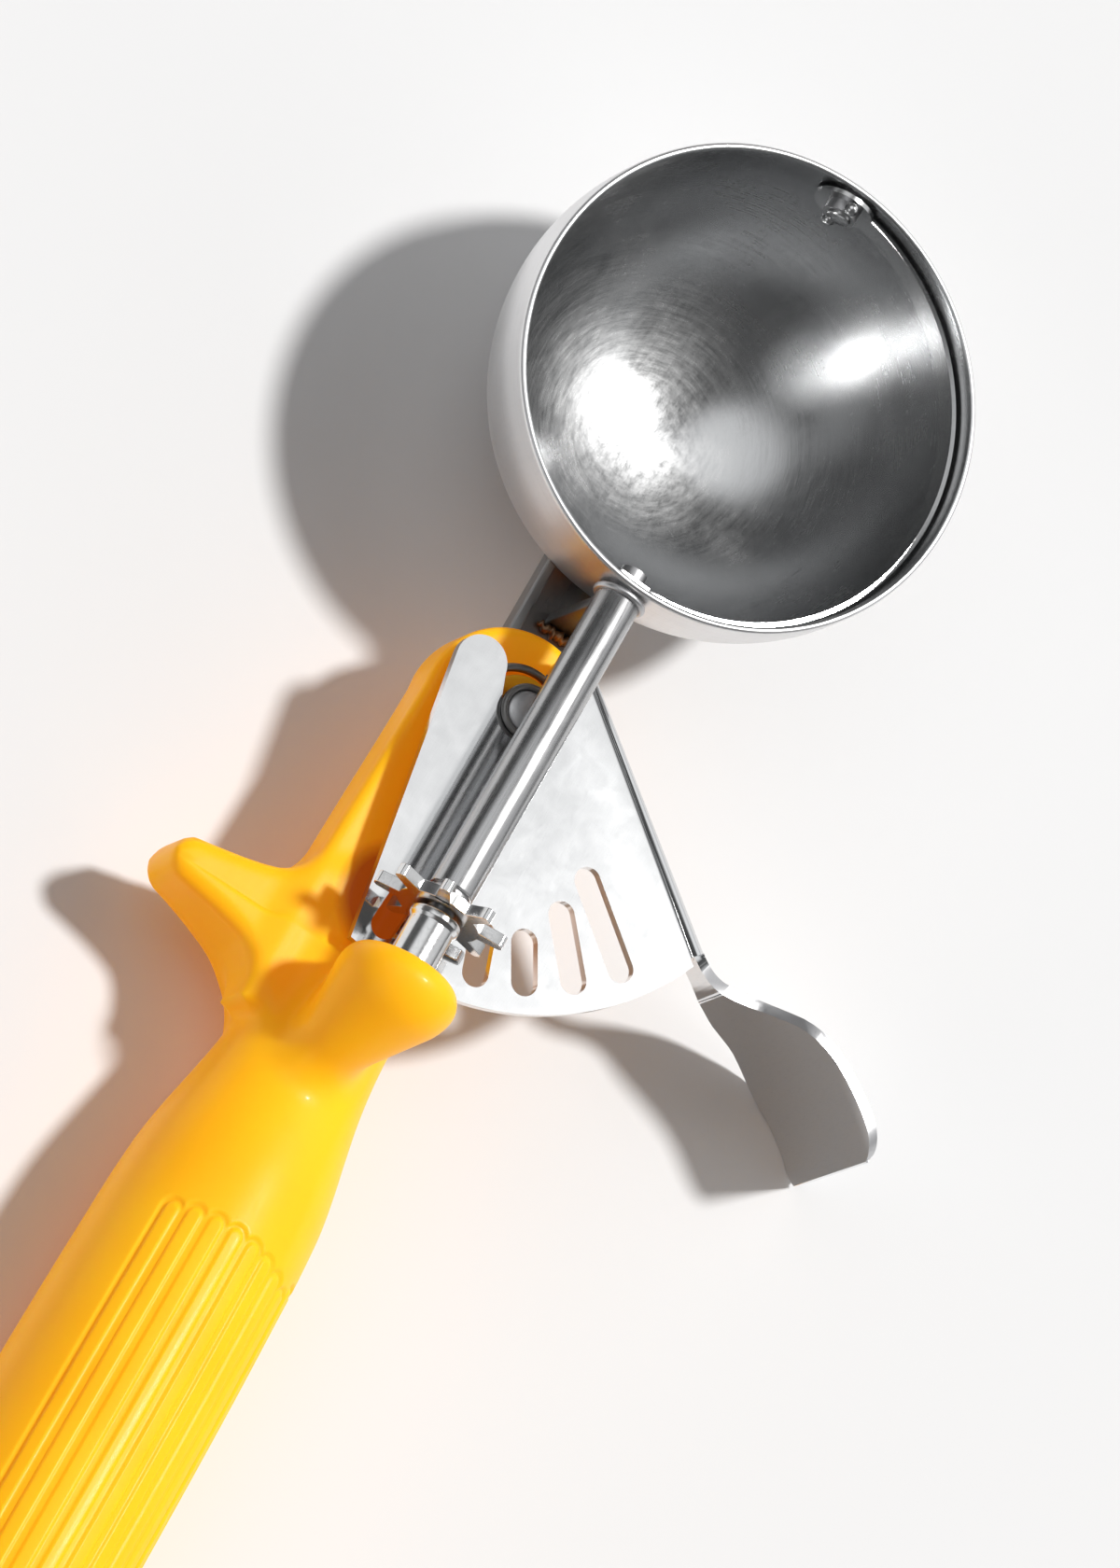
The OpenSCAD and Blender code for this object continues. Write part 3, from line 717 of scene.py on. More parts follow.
@dataclass(frozen=True)
class Grip:
    """Ribbed grip, neck and keel, round one axis: swells holds places along X and radii, ribs stand in degrees."""

    axis_y: float = SHANK_Y
    axis_z: float = -14.45
    swells: tuple = (
        (-172, 11.6), (-162, 12.05), (-150, 12.2), (-135, 12.1), (-123, 11.9), (-114, 11.65), (-107, 11.4),
        (-102, 11.0), (-98, 10.35), (-94, 9.55), (-89, 8.65), (-84, 8.1), (-80, 7.9), (-76, 7.7), (-70, 6.6),
        (-64, 5.4), (-58, 4.2),
    )
    taper: float = 0.6
    taper_length: float = 5.0
    butt: float = 182.0
    butt_round: float = 5.0
    butt_radius: float = 11.0
    nose_cut: float = 0.3
    nose_x: float = -53.9
    ribs: int = 21
    first_rib: float = 54.4
    rib_pitch: float = 12.4
    rib_radius: float = 12.1
    rib_front: float = 110.9
    rib_back: float = 170.0
    front_bow: float = 0.0006
    bow_middle: float = 90.0
    bow_end: float = 150.0
    groove: float = 0.26
    groove_inner: tuple = (0.80 - 0.12, 0.80 + 0.14)
    groove_outer: tuple = (1.26, 1.56)

    def swell(self, x: np.ndarray) -> np.ndarray:
        """Radius of the grip, of the neck and of the keel under the tongue, with a quarter round at both ends.

        Args:
            x: places along the axis.

        Returns:
            The radius at each place.
        """
        (back_x, back_radius), (keel_x, keel_radius) = self.swells[0], self.swells[-1]
        body = curve_through(x, self.swells)
        body = np.where(x < back_x, back_radius - self.taper * np.clip((back_x - x) / self.taper_length, 0, 1), body)
        end = self.butt - self.butt_round
        over = np.clip(-x - end, 0, self.butt_round)
        tail = self.butt_radius - self.butt_round + np.sqrt(np.maximum(self.butt_round**2 - over**2, 0))
        body = np.where(x < -end, tail, body)
        tip = np.clip(x - keel_x, 0, keel_radius)
        nose = np.sqrt(np.maximum(keel_radius**2 - tip**2, 0)) - self.nose_cut * (x > self.nose_x)
        return np.where(x > keel_x, nose, body)

    def relief(self, x: np.ndarray, angle: np.ndarray) -> np.ndarray:
        """Height of the grooves round the ribs: a band between each rib's long rounded outline and the next.

        Args:
            x: places along the axis.
            angle: places round it, in radians.

        Returns:
            Minus the groove's depth in the band, zero elsewhere.
        """
        turn = np.degrees(angle) % 360.0
        index = np.clip(np.round((turn - self.first_rib) / self.rib_pitch), 0, self.ribs - 1)
        middle = self.first_rib + index * self.rib_pitch
        off = np.abs(turn - middle)
        off = np.radians(np.minimum(off, 360 - off)) * self.rib_radius
        lead = self.rib_front + self.front_bow * (middle - self.bow_middle) ** 2 * (middle < self.bow_end)
        beyond = np.maximum(np.maximum(x + lead, 0), np.maximum(-x - self.rib_back, 0))
        reach = np.hypot(off, beyond)
        band = smooth_step(reach, *self.groove_inner) * (1 - smooth_step(reach, *self.groove_outer))
        return -self.groove * band

    def distance(self, p: np.ndarray) -> np.ndarray:
        """Distance to the grip: the distance from its axis, less the swell and the relief.

        Args:
            p: points, last axis of three.

        Returns:
            The signed distance.
        """
        x, y, z = p[..., 0], p[..., 1] - self.axis_y, p[..., 2] - self.axis_z
        return np.hypot(y, z) - self.swell(x) - self.relief(x, np.arctan2(z, y))


@dataclass(frozen=True)
class Hump:
    """Hump over the spindle's tail: a tapered rod behind a short drum, cut by a flat face in front."""

    top: tuple = (-77.8, 0, 0)
    foot: tuple = (-88.0, 2.0, -6.8)
    radius: float = 7.0
    foot_radius: float = 3.0
    drum_x: float = -75.8
    drum_half: float = 2.0
    face_x: float = -76.0
    face_round: float = 3.4

    def distance(self, p: np.ndarray) -> np.ndarray:
        """Distance to the hump.

        Args:
            p: points, last axis of three.

        Returns:
            The signed distance.
        """
        x, y, z = p[..., 0], p[..., 1], p[..., 2]
        rise = tapered_rod(p, self.top, self.foot, self.radius, self.foot_radius)
        drum = np.maximum(np.hypot(y, z) - self.radius, np.abs(x - self.drum_x) - self.drum_half)
        return soft_max(np.minimum(rise, drum), x - self.face_x, self.face_round)


@dataclass(frozen=True)
class FingerRest:
    """Finger rest: middles and halves hold its middle line and half width along X, by the reach in Y."""

    middles: tuple = ((4, -78.4), (8, -76.8), (11.5, -75.6), (14, -75.6), (18, -75.7), (23, -75.9))
    halves: tuple = ((4, 13.5), (8, 9.8), (10, 8.0), (11.5, 6.9), (14, 5.0), (18, 3.6), (21, 3.0), (23.2, 2.6))
    root_y: float = 4.0
    tip_y: float = 25.8
    lean: float = 0.25
    spread: float = 0.35
    slope: float = 0.93
    top_drop: float = 0.5
    floor_z: float = -20.6
    floor_rise: float = 2.2
    edge: float = 1.7

    def distance(self, p: np.ndarray) -> np.ndarray:
        """Distance to the finger rest: a slab between two curves of the reach, its edges rounded over.

        Args:
            p: points, last axis of three.

        Returns:
            The signed distance, eased by the slope of the sides.
        """
        x, y, z = p[..., 0], p[..., 1], p[..., 2]
        middle = curve_through(y, self.middles)
        end_y, end_half = self.halves[-1]
        over = np.clip(y - end_y, 0, end_half)
        half = np.where(y > end_y, np.sqrt(np.maximum(end_half**2 - over**2, 1e-4)), curve_through(y, self.halves))
        low = smooth_step(TONGUE_TOP - z, 0, 10)
        side = (np.abs(x - middle + self.lean * low) - half - self.spread * low) * self.slope
        top = TONGUE_TOP - self.top_drop * smooth_step(y, 12, 25)
        floor = self.floor_z + self.floor_rise * smooth_step(y, 14, 25.5)
        block = eased_prism(side, np.maximum(z - top, floor - z), self.edge)
        return np.maximum(np.maximum(block, y - self.tip_y), self.root_y - y)


@dataclass(frozen=True)
class Tongue:
    """Flat tongue under the lever: a bar that grows a little wider to the back, with a round end at the pivot."""

    top_z: float = TONGUE_TOP
    floor_z: float = -16.2
    radius: float = 10.2
    back_x: float = -86.0
    left_y: float = 11.25
    left_growth: float = 0.6
    right_y: float = -6.8
    right_growth: float = 4.0
    edge: float = 1.1

    def distance(self, p: np.ndarray) -> np.ndarray:
        """Distance to the tongue, its edges rounded over.

        Args:
            p: points, last axis of three.

        Returns:
            The signed distance.
        """
        x, y, z = p[..., 0], p[..., 1], p[..., 2]
        left = self.left_y + self.left_growth * smooth_step(-x, 42, 70)
        right = self.right_y + self.right_growth * smooth_step(-x, 62, 76)
        bar = np.maximum(np.maximum(y - left, right - y), np.maximum(x - PIVOT[0], self.back_x - x))
        disc = np.maximum(np.hypot(x - PIVOT[0], y - PIVOT[1]) - self.radius, right - y)
        height = np.abs(z - (self.top_z + self.floor_z) / 2) - (self.top_z - self.floor_z) / 2
        return eased_prism(np.minimum(bar, disc), height, self.edge)


@dataclass
class Handle:
    """The moulded handle: grip, hump, finger rest and tongue in one skin.

    runs holds the first place, the last place and the number of rings of each run of rings along X.
    """

    grip: Grip = Grip()
    hump: Hump = Hump()
    rest: FingerRest = FingerRest()
    tongue: Tongue = Tongue()
    hump_fillet: float = 3.2
    face_edge: float = 1.0
    tongue_fillet: float = 1.2
    rest_fillet: float = 3.0
    butt_rings: int = 15
    runs: tuple = (
        (-176, -172, 4), (-171.5, -167, 10), (-164, -115, 14), (-114, -108.6, 22), (-108, -90, 32),
        (-89.5, -77.6, 32), (-77.4, -75.9, 22), (-75.6, -44, 50),
    )
    tip_rings: int = 26
    tip_x: float = -32.06
    tip_length: float = 12.0
    columns: int = 432
    spine_rise: float = 1.55
    first_reach: float = 0.25
    last_reach: float = 27.0
    reaches: int = 108
    overstep: float = 0.26
    halvings: int = 14

    def distance(self, p: np.ndarray) -> np.ndarray:
        """Distance to the whole moulding: soft unions of its forms, cut flat in front of the hump.

        Args:
            p: points, last axis of three.

        Returns:
            The signed distance.
        """
        front = np.minimum(p[..., 0] - self.hump.face_x, p[..., 2] - TONGUE_TOP)
        body = soft_min(self.grip.distance(p), self.hump.distance(p), self.hump_fillet)
        body = soft_max(body, front, self.face_edge)
        body = soft_min(body, self.tongue.distance(p), self.tongue_fillet)
        return soft_min(body, soft_max(self.rest.distance(p), front, self.face_edge), self.rest_fillet)

    def stations(self) -> np.ndarray:
        """Places of the rings along X, close together where the form turns.

        Returns:
            The places, in rising order.
        """
        quarter = np.linspace(0, np.pi / 2, self.butt_rings)
        butt = -self.grip.butt + (1 - np.cos(quarter)) * self.grip.butt_round
        quarter = np.linspace(0.02, np.pi / 2, self.tip_rings)
        tip = self.tip_x - self.tip_length * (1 - np.sin(quarter))
        places = [butt, *(np.linspace(*run) for run in self.runs), tip]
        return np.unique(np.round(np.concatenate(places), 4))

    def skin(self) -> np.ndarray:
        """The moulding's skin: along each ray from the spine, the last place that lies inside, by halving.

        Returns:
            (rows, columns, 3) points, one row for each station.
        """
        x = self.stations()
        angle = np.linspace(0, 2 * np.pi, self.columns, endpoint=False)
        centre_z = self.grip.axis_z + self.spine_rise * smooth_step(x, -84, -72)
        gx, ga = np.meshgrid(x, angle, indexing="ij")
        gz = np.repeat(centre_z[:, None], self.columns, 1)
        spine = np.stack([gx, np.full_like(gx, self.grip.axis_y), gz], -1)
        ray = np.stack([np.zeros_like(ga), np.cos(ga), np.sin(ga)], -1)
        low = np.zeros_like(gx)
        for reach in np.linspace(self.first_reach, self.last_reach, self.reaches):
            low = np.where(self.distance(spine + reach * ray) < 0, reach, low)
        high = low + self.overstep
        for _ in range(self.halvings):
            mid = (low + high) / 2
            inside = self.distance(spine + mid[..., None] * ray) < 0
            low, high = np.where(inside, mid, low), np.where(inside, high, mid)
        return spine + low[..., None] * ray

    def build(self, palette: Palette) -> None:
        """Makes the handle.

        Args:
            palette: the scoop's finishes.
        """
        moulding = put_grid("handle_moulding", self.skin())
        settle(moulding, palette.grip, "handle_plastic", FRAME_BODY, "handle")


# ---------------------------------------------------------------- bowl and shank


@dataclass
class Bowl:
    """Spun bowl with a short straight collar and a softened rim; its back is duller, and lighter in colour as a painted
    brightening for the light it reflects.
    """

    radius: float = 27.0
    wall: float = 0.8
    collar: float = 3.5
    pole_gap: float = 0.02
    rings: int = 60
    rim_steps: int = 9
    collar_steps: int = 4
    collar_gap: float = 0.3
    columns: int = 192

    def outline(self) -> np.ndarray:
        """Half outline: two quarter circles, joined by the collar's walls and a half round lip.

        Returns:
            Rows of (height, radius), from the outer pole round the rim to the inner pole.
        """
        t = np.linspace(self.pole_gap, np.pi / 2, self.rings)
        quarter = np.stack([-np.cos(t), np.sin(t)], -1)
        inner_radius = self.radius - self.wall
        lip = self.wall / 2
        a = np.linspace(0, np.pi, self.rim_steps)
        rim = np.stack([self.collar - lip + lip * np.sin(a), self.radius - lip + lip * np.cos(a)], -1)
        climb = np.linspace(self.collar_gap, self.collar - lip - self.collar_gap, self.collar_steps)
        up = np.stack([climb, np.full(self.collar_steps, self.radius)], -1)
        down = np.stack([climb[::-1], np.full(self.collar_steps, inner_radius)], -1)
        outer, inner = self.radius * quarter, inner_radius * quarter[::-1]
        return np.vstack([[[-self.radius, 0.0]], outer, up, rim, down, inner, [[-inner_radius, 0.0]]])

    def build(self, palette: Palette) -> None:
        """Makes the shell: faces past the middle of the wall are its back.

        Args:
            palette: the scoop's finishes.
        """
        shell = put_turned("bowl_shell", self.outline(), Axis.UPRIGHT, self.columns)
        settle(shell, palette.bowl, "bowl_steel", FRAME_BODY, "bowl")
        shell.data.materials.append(palette.bowl_back)
        middle = self.radius - self.wall / 2
        for face in shell.data.polygons:
            c = face.center / MM
            reach = math.hypot(c.x, c.y) if c.z > 0 else c.length
            face.material_index = int(reach > middle)


@dataclass
class Shank:
    """Channel shank from the bowl into the handle, and the guide tube."""

    half: float = 5.0
    top: float = -10.4
    bottom: float = -14.4
    wall: float = 1.2
    lip_round: float = 0.25
    outer_round: float = 1.6
    inner_round: float = 0.5
    ball: float = 27.02
    back: float = 103.0
    shares: tuple = (0, 0.004, 0.02, 0.1, 0.3, 0.6, 1.0)
    tube: tuple = ((-66.3, 2.05, 0.1), (-66.3, 2.55, 0.18), (-27.3, 2.55, 0.1), (-27.3, 2.05, 0.1))

    def channel(self) -> np.ndarray:
        """Channel wall: a U with round corners carried from the bowl's ball into the handle.

        Returns:
            (rows, columns, 3) points, one row for each share of the way.
        """
        inner, floor = self.half - self.wall, self.bottom + self.wall
        outline = rounded_path(
            [(-self.half, self.top, self.lip_round), (-self.half, self.bottom, self.outer_round),
             (self.half, self.bottom, self.outer_round), (self.half, self.top, self.lip_round),
             (inner, self.top, self.lip_round), (inner, floor, self.inner_round),
             (-inner, floor, self.inner_round), (-inner, self.top, self.lip_round)], 6
        )
        y, z = outline[:, 0] + SHANK_Y, outline[:, 1]
        start = -np.sqrt(self.ball**2 - y**2 - z**2)
        x = start + (-self.back - start) * np.array(self.shares)[:, None]
        return np.stack([x, np.broadcast_to(y, x.shape), np.broadcast_to(z, x.shape)], -1)

    def build(self, palette: Palette) -> None:
        """Makes the channel and the tube.

        Args:
            palette: the scoop's finishes.
        """
        channel = put_grid("shank_channel_body", self.channel())
        # The channel's dark finish is painted shade.
        settle(channel, palette.worn, "plain_steel", FRAME_BODY, "shank_channel")
        guide = put_turned("guide_tube_body", rounded_path(self.tube, 4), Axis.DRIVE, 64)
        settle(guide, palette.tube, "plain_steel", FRAME_BODY, "guide_tube")
        paint_node("tube_bushes", palette.satin)


@dataclass
class Saddle:
    """Small plate that holds the tube on the channel, and the braze round it.

    web holds (y, z, rounding) of the plate's corners, web_x and web_shares its rings along X and their sizes.
    """

    web: tuple = (
        (-1.7, -13.3, 0), (2.2, -13.3, 0), (2.0, -6.0, 0.8), (1.9, -0.6, 0.4), (1.7, -0.3, 0.1),
        (1.2, -2.35, 0.3), (-1.2, -2.35, 0.3), (-1.7, -0.3, 0.1), (-1.9, -0.6, 0.4), (-1.6, -6.0, 0.8),
    )
    web_x: tuple = (-28.0, -28.1, -29.3, -29.4)
    web_shares: tuple = (0.96, 1.0, 1.0, 0.96)
    web_y: float = 0.1
    web_middle: float = 7.0
    ring_x: float = -27.62
    ring_radius: float = 2.72
    ring_thick: float = 0.38
    run_x: float = -30.0
    run_z: float = -12.7
    run_y: tuple = (-1.8, 3.2)
    run_middle: float = 0.7
    run_half: float = 2.55
    run_thick: float = 0.62
    run_rings: int = 60
    run_sides: int = 20

    def plate(self) -> np.ndarray:
        """The plate's rings: its outline, drawn in a little at both faces.

        Returns:
            (rows, columns, 3) points, one row for each place in web_x.
        """
        edge = rounded_path(self.web, 5)
        y, z = edge[:, 0] + self.web_y, edge[:, 1]
        x = np.array(self.web_x)[:, None] + 0 * y
        share = np.array(self.web_shares)[:, None]
        return np.stack([x, y * share, (z + self.web_middle) * share - self.web_middle], -1)

    def run(self) -> np.ndarray:
        """Braze across the channel's floor: a rod that thins out at both ends, wavy and lumpy by a few sines.

        Returns:
            (rows, columns, 3) points, rows in rising order of Y.
        """
        y = np.linspace(*self.run_y, self.run_rings)
        wave = 0.14 * np.sin(y * 5.1) + 0.1 * np.sin(y * 9.7 + 1)
        body = np.sqrt(np.clip(1 - ((y - self.run_middle) / self.run_half) ** 2, 0.02, 1))
        swell = self.run_thick * body * (1 + 0.16 * np.sin(y * 7.3))
        t = np.linspace(0, 2 * np.pi, self.run_sides, endpoint=False)
        x = self.run_x + wave[:, None] + swell[:, None] * np.cos(t)
        z = self.run_z + swell[:, None] * np.sin(t)
        return np.stack([x, np.repeat(y[:, None], self.run_sides, 1), z], -1)

    def build(self, palette: Palette) -> None:
        """Makes the plate, the braze ring round the tube's foot and the run on the channel's floor.

        Args:
            palette: the scoop's finishes.
        """
        settle(put_grid("tube_saddle_web", self.plate()), palette.dark, "bronze", FRAME_BODY, "tube_saddle")
        a = np.linspace(0, 2 * np.pi, 14, endpoint=False)
        ring = np.stack([self.ring_x + self.ring_thick * np.cos(a), self.ring_radius + self.ring_thick * np.sin(a)], -1)
        foot = put_turned("braze_ring", ring, Axis.DRIVE, 72)
        settle(foot, palette.satin, "bronze", FRAME_BODY, "braze_beads")
        settle(put_grid("braze_run", self.run()), palette.bronze, "bronze", FRAME_BODY)


# ---------------------------------------------------------------- pivot and drive


@dataclass
class Pivot:
    """Rivet, washer, bush and torsion spring of the lever. foot and bush hold (height, radius) in order."""

    x: float = PIVOT[0]
    y: float = PIVOT[1]
    seat: float = -5.7 + 0.3
    head: float = 2.35
    dome_foot: float = 0.25
    dome_rise: float = 0.55
    dome_power: float = 0.7
    foot: tuple = ((-17.8, 1.5), (-17.9, 2.4), (-18.3, 2.4), (-18.6, 1.9), (-18.7, 0.6), (-18.7, 0.0))
    bush: tuple = ((TONGUE_TOP, 1.5, 0), (TONGUE_TOP, 4.5, 0), (-7.2, 4.5, 0.5), (-7.2, 1.5, 0))
    wire: float = 0.475
    coil: float = 5.4
    coil_from: float = 110.0
    coil_to: float = 560.0
    coil_lift: float = 0.5225
    coil_climb: float = 1.3656
    straight_gap: float = 0.4
    hook_length: float = 5.0
    leg_length: float = 12.9
    turn: float = 2.72
    turn_from: float = -40.0
    turn_to: float = 235.0
    turn_wire: float = 0.36

    def rivet_outline(self) -> np.ndarray:
        """Half outline of the rivet: a low dome, radius head cos^0.7, on a rim, the shaft, and the upset foot.

        Returns:
            Rows of (height, radius), from the top to the bottom.
        """
        a = np.linspace(np.pi / 2, 0, 9)
        height = self.seat + self.dome_foot + self.dome_rise * np.sin(a)
        dome = np.stack([height, self.head * np.cos(a) ** self.dome_power], -1)
        rim = [(self.seat + 0.1, self.head), (self.seat, self.head - 0.1), (self.seat, RIVET_SHAFT)]
        return np.vstack([[(height[0], 0.0)], dome[1:], rim, self.foot])

    def spring_path(self) -> np.ndarray:
        """Centre line of the wire: a straight hook, a helix about the pivot, and a straight leg.

        Returns:
            The points in order.
        """
        t = np.radians(np.linspace(self.coil_from, self.coil_to, 120))
        share = (t - t[0]) / (t[-1] - t[0])
        z = TONGUE_TOP + self.coil_lift + self.coil_climb * share
        coil = np.stack([self.x + self.coil * np.cos(t), self.y + self.coil * np.sin(t), z], -1)
        ahead = np.array([-math.sin(t[0]), math.cos(t[0]), 0.0])
        after = np.array([-math.sin(t[-1]), math.cos(t[-1]), 0.0])
        hook = coil[0] - ahead * np.linspace(self.hook_length, self.straight_gap, 6)[:, None]
        leg = coil[-1] + after * np.linspace(self.straight_gap, self.leg_length, 12)[:, None]
        return np.vstack([hook, coil, leg])

    def end_turn(self) -> np.ndarray:
        """Centre line of the spring's open end turn round the rivet's head: an arc on the seat.

        Returns:
            The points in order.
        """
        t = np.radians(np.linspace(self.turn_from, self.turn_to, 80))
        lift = self.seat + self.turn_wire + 0 * t
        return np.stack([self.x + self.turn * np.cos(t), self.y + self.turn * np.sin(t), lift], -1)

    def build(self, palette: Palette) -> None:
        """Makes the pivot's pieces. The spring's wire rides on no body, its place baked into its mesh.

        Args:
            palette: the scoop's finishes.
        """
        centre = (self.x, self.y, 0)
        rivet = put_turned("pivot_rivet_body", self.rivet_outline(), Axis.UPRIGHT, 64, centre)
        settle(rivet, palette.satin, "dark_steel", FRAME_BODY, "pivot_rivet")
        paint_node("rivet_washer", palette.satin)
        collar = put_turned("spring_bush_body", rounded_path(self.bush, 5), Axis.UPRIGHT, 64, centre)
        settle(collar, palette.bush, "bush_plastic", FRAME_BODY, "spring_bush")
        spring = put_swept("torsion_spring_wire", self.spring_path(), self.wire)
        settle(spring, palette.dark, "plain_steel", "", "torsion_spring")
        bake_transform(spring)
        hook = put_swept("spring_end_turn", self.end_turn(), self.turn_wire)
        settle(hook, palette.dark, "plain_steel", FRAME_BODY)


@dataclass
class Drive:
    """Pinion, rear sleeve, spindle, hubs and pins.

    sleeve and boss hold (place along the drive axis, radius, rounding), pin holds (place, radius).
    """

    tooth_edge: float = 0.12
    sharp: float = 30.0
    sleeve: tuple = (
        (-69.65, 1.56, 0.1), (-69.65, 3.0, 0.25), (-70.45, 2.95, 0.2), (-70.9, 2.65, 0.3), (-80.4, 2.65, 0.1),
        (-80.4, 1.56, 0.1),
    )
    boss: tuple = ((-25.6, 0.0, 0), (-25.6, 1.6, 0.1), (-24.9, 1.5, 0.4), (-24.8, 0.0, 0))
    pin: tuple = (
        (23.65, 0.0), (23.65, 0.5), (23.7, 1.3), (23.8, 1.4), (27.02, 1.4), (27.02, 2.5), (27.1, 2.6), (27.4, 2.35),
        (27.8, 1.6), (28.05, 0.8), (28.12, 0.3), (28.12, 0.0),
    )

    def build(self, palette: Palette) -> None:
        """Makes the drive's pieces.

        Args:
            palette: the scoop's finishes.
        """
        pinion = dressed_copy("pinion", "pinion_star", self.tooth_edge, self.sharp)
        settle(pinion, palette.bright, "plain_steel", SCRAPER_BODY, "pinion")
        sleeve = put_turned("rear_sleeve_body", rounded_path(self.sleeve, 5), Axis.DRIVE, 64)
        settle(sleeve, palette.bright, "polished_steel", FRAME_BODY, "rear_sleeve")
        for node in ("drive_spindle", "far_hub"):
            paint_node(node, palette.satin)
        hub = put_turned("near_hub_boss", rounded_path(self.boss, 5, closed=False), Axis.DRIVE, 48)
        settle(hub, palette.satin, "plain_steel", SCRAPER_BODY, "near_hub")
        pin = put_turned("far_pin_body", np.array(self.pin), Axis.DRIVE, 48)
        settle(pin, palette.bright, "polished_steel", FRAME_BODY, "far_pin")


@dataclass
class Scraper:
    """Blade that sweeps the bowl, and its round-headed rivets."""

    eye_half: float = 1.7
    eye_start: float = -24.4
    strip_edge: float = 0.12
    sharp: float = 40.0

    def trim_eye(self, blade: bpy.types.Object) -> None:
        """Narrows the blade's near eye: past its start, heights over its half width are brought down to it.

        Args:
            blade: the blade.
        """
        points = read_points(blade.data)
        near = points[:, 0] < self.eye_start
        points[near, 2] = np.clip(points[near, 2], -self.eye_half, self.eye_half)
        write_points(blade.data, points)

    def build(self, palette: Palette) -> None:
        """Makes the blade and the rivets.

        Args:
            palette: the scoop's finishes.
        """
        blade = dressed_copy("scraper_blade", "scraper_blade_strip", self.strip_edge, self.sharp)
        self.trim_eye(blade)
        settle(blade, palette.bright, "polished_steel", SCRAPER_BODY, "scraper_blade")
        paint_node("ball_rivets", palette.bright)


# ---------------------------------------------------------------- lever


def corner_drop(r: np.ndarray, end: float, radius: float) -> np.ndarray:
    """How far an edge falls back at a rounded corner: radius - sqrt(radius^2 - over^2), over from its start."""
    over = np.clip(r - end + radius, 0, radius)
    return radius - np.sqrt(radius**2 - over**2)


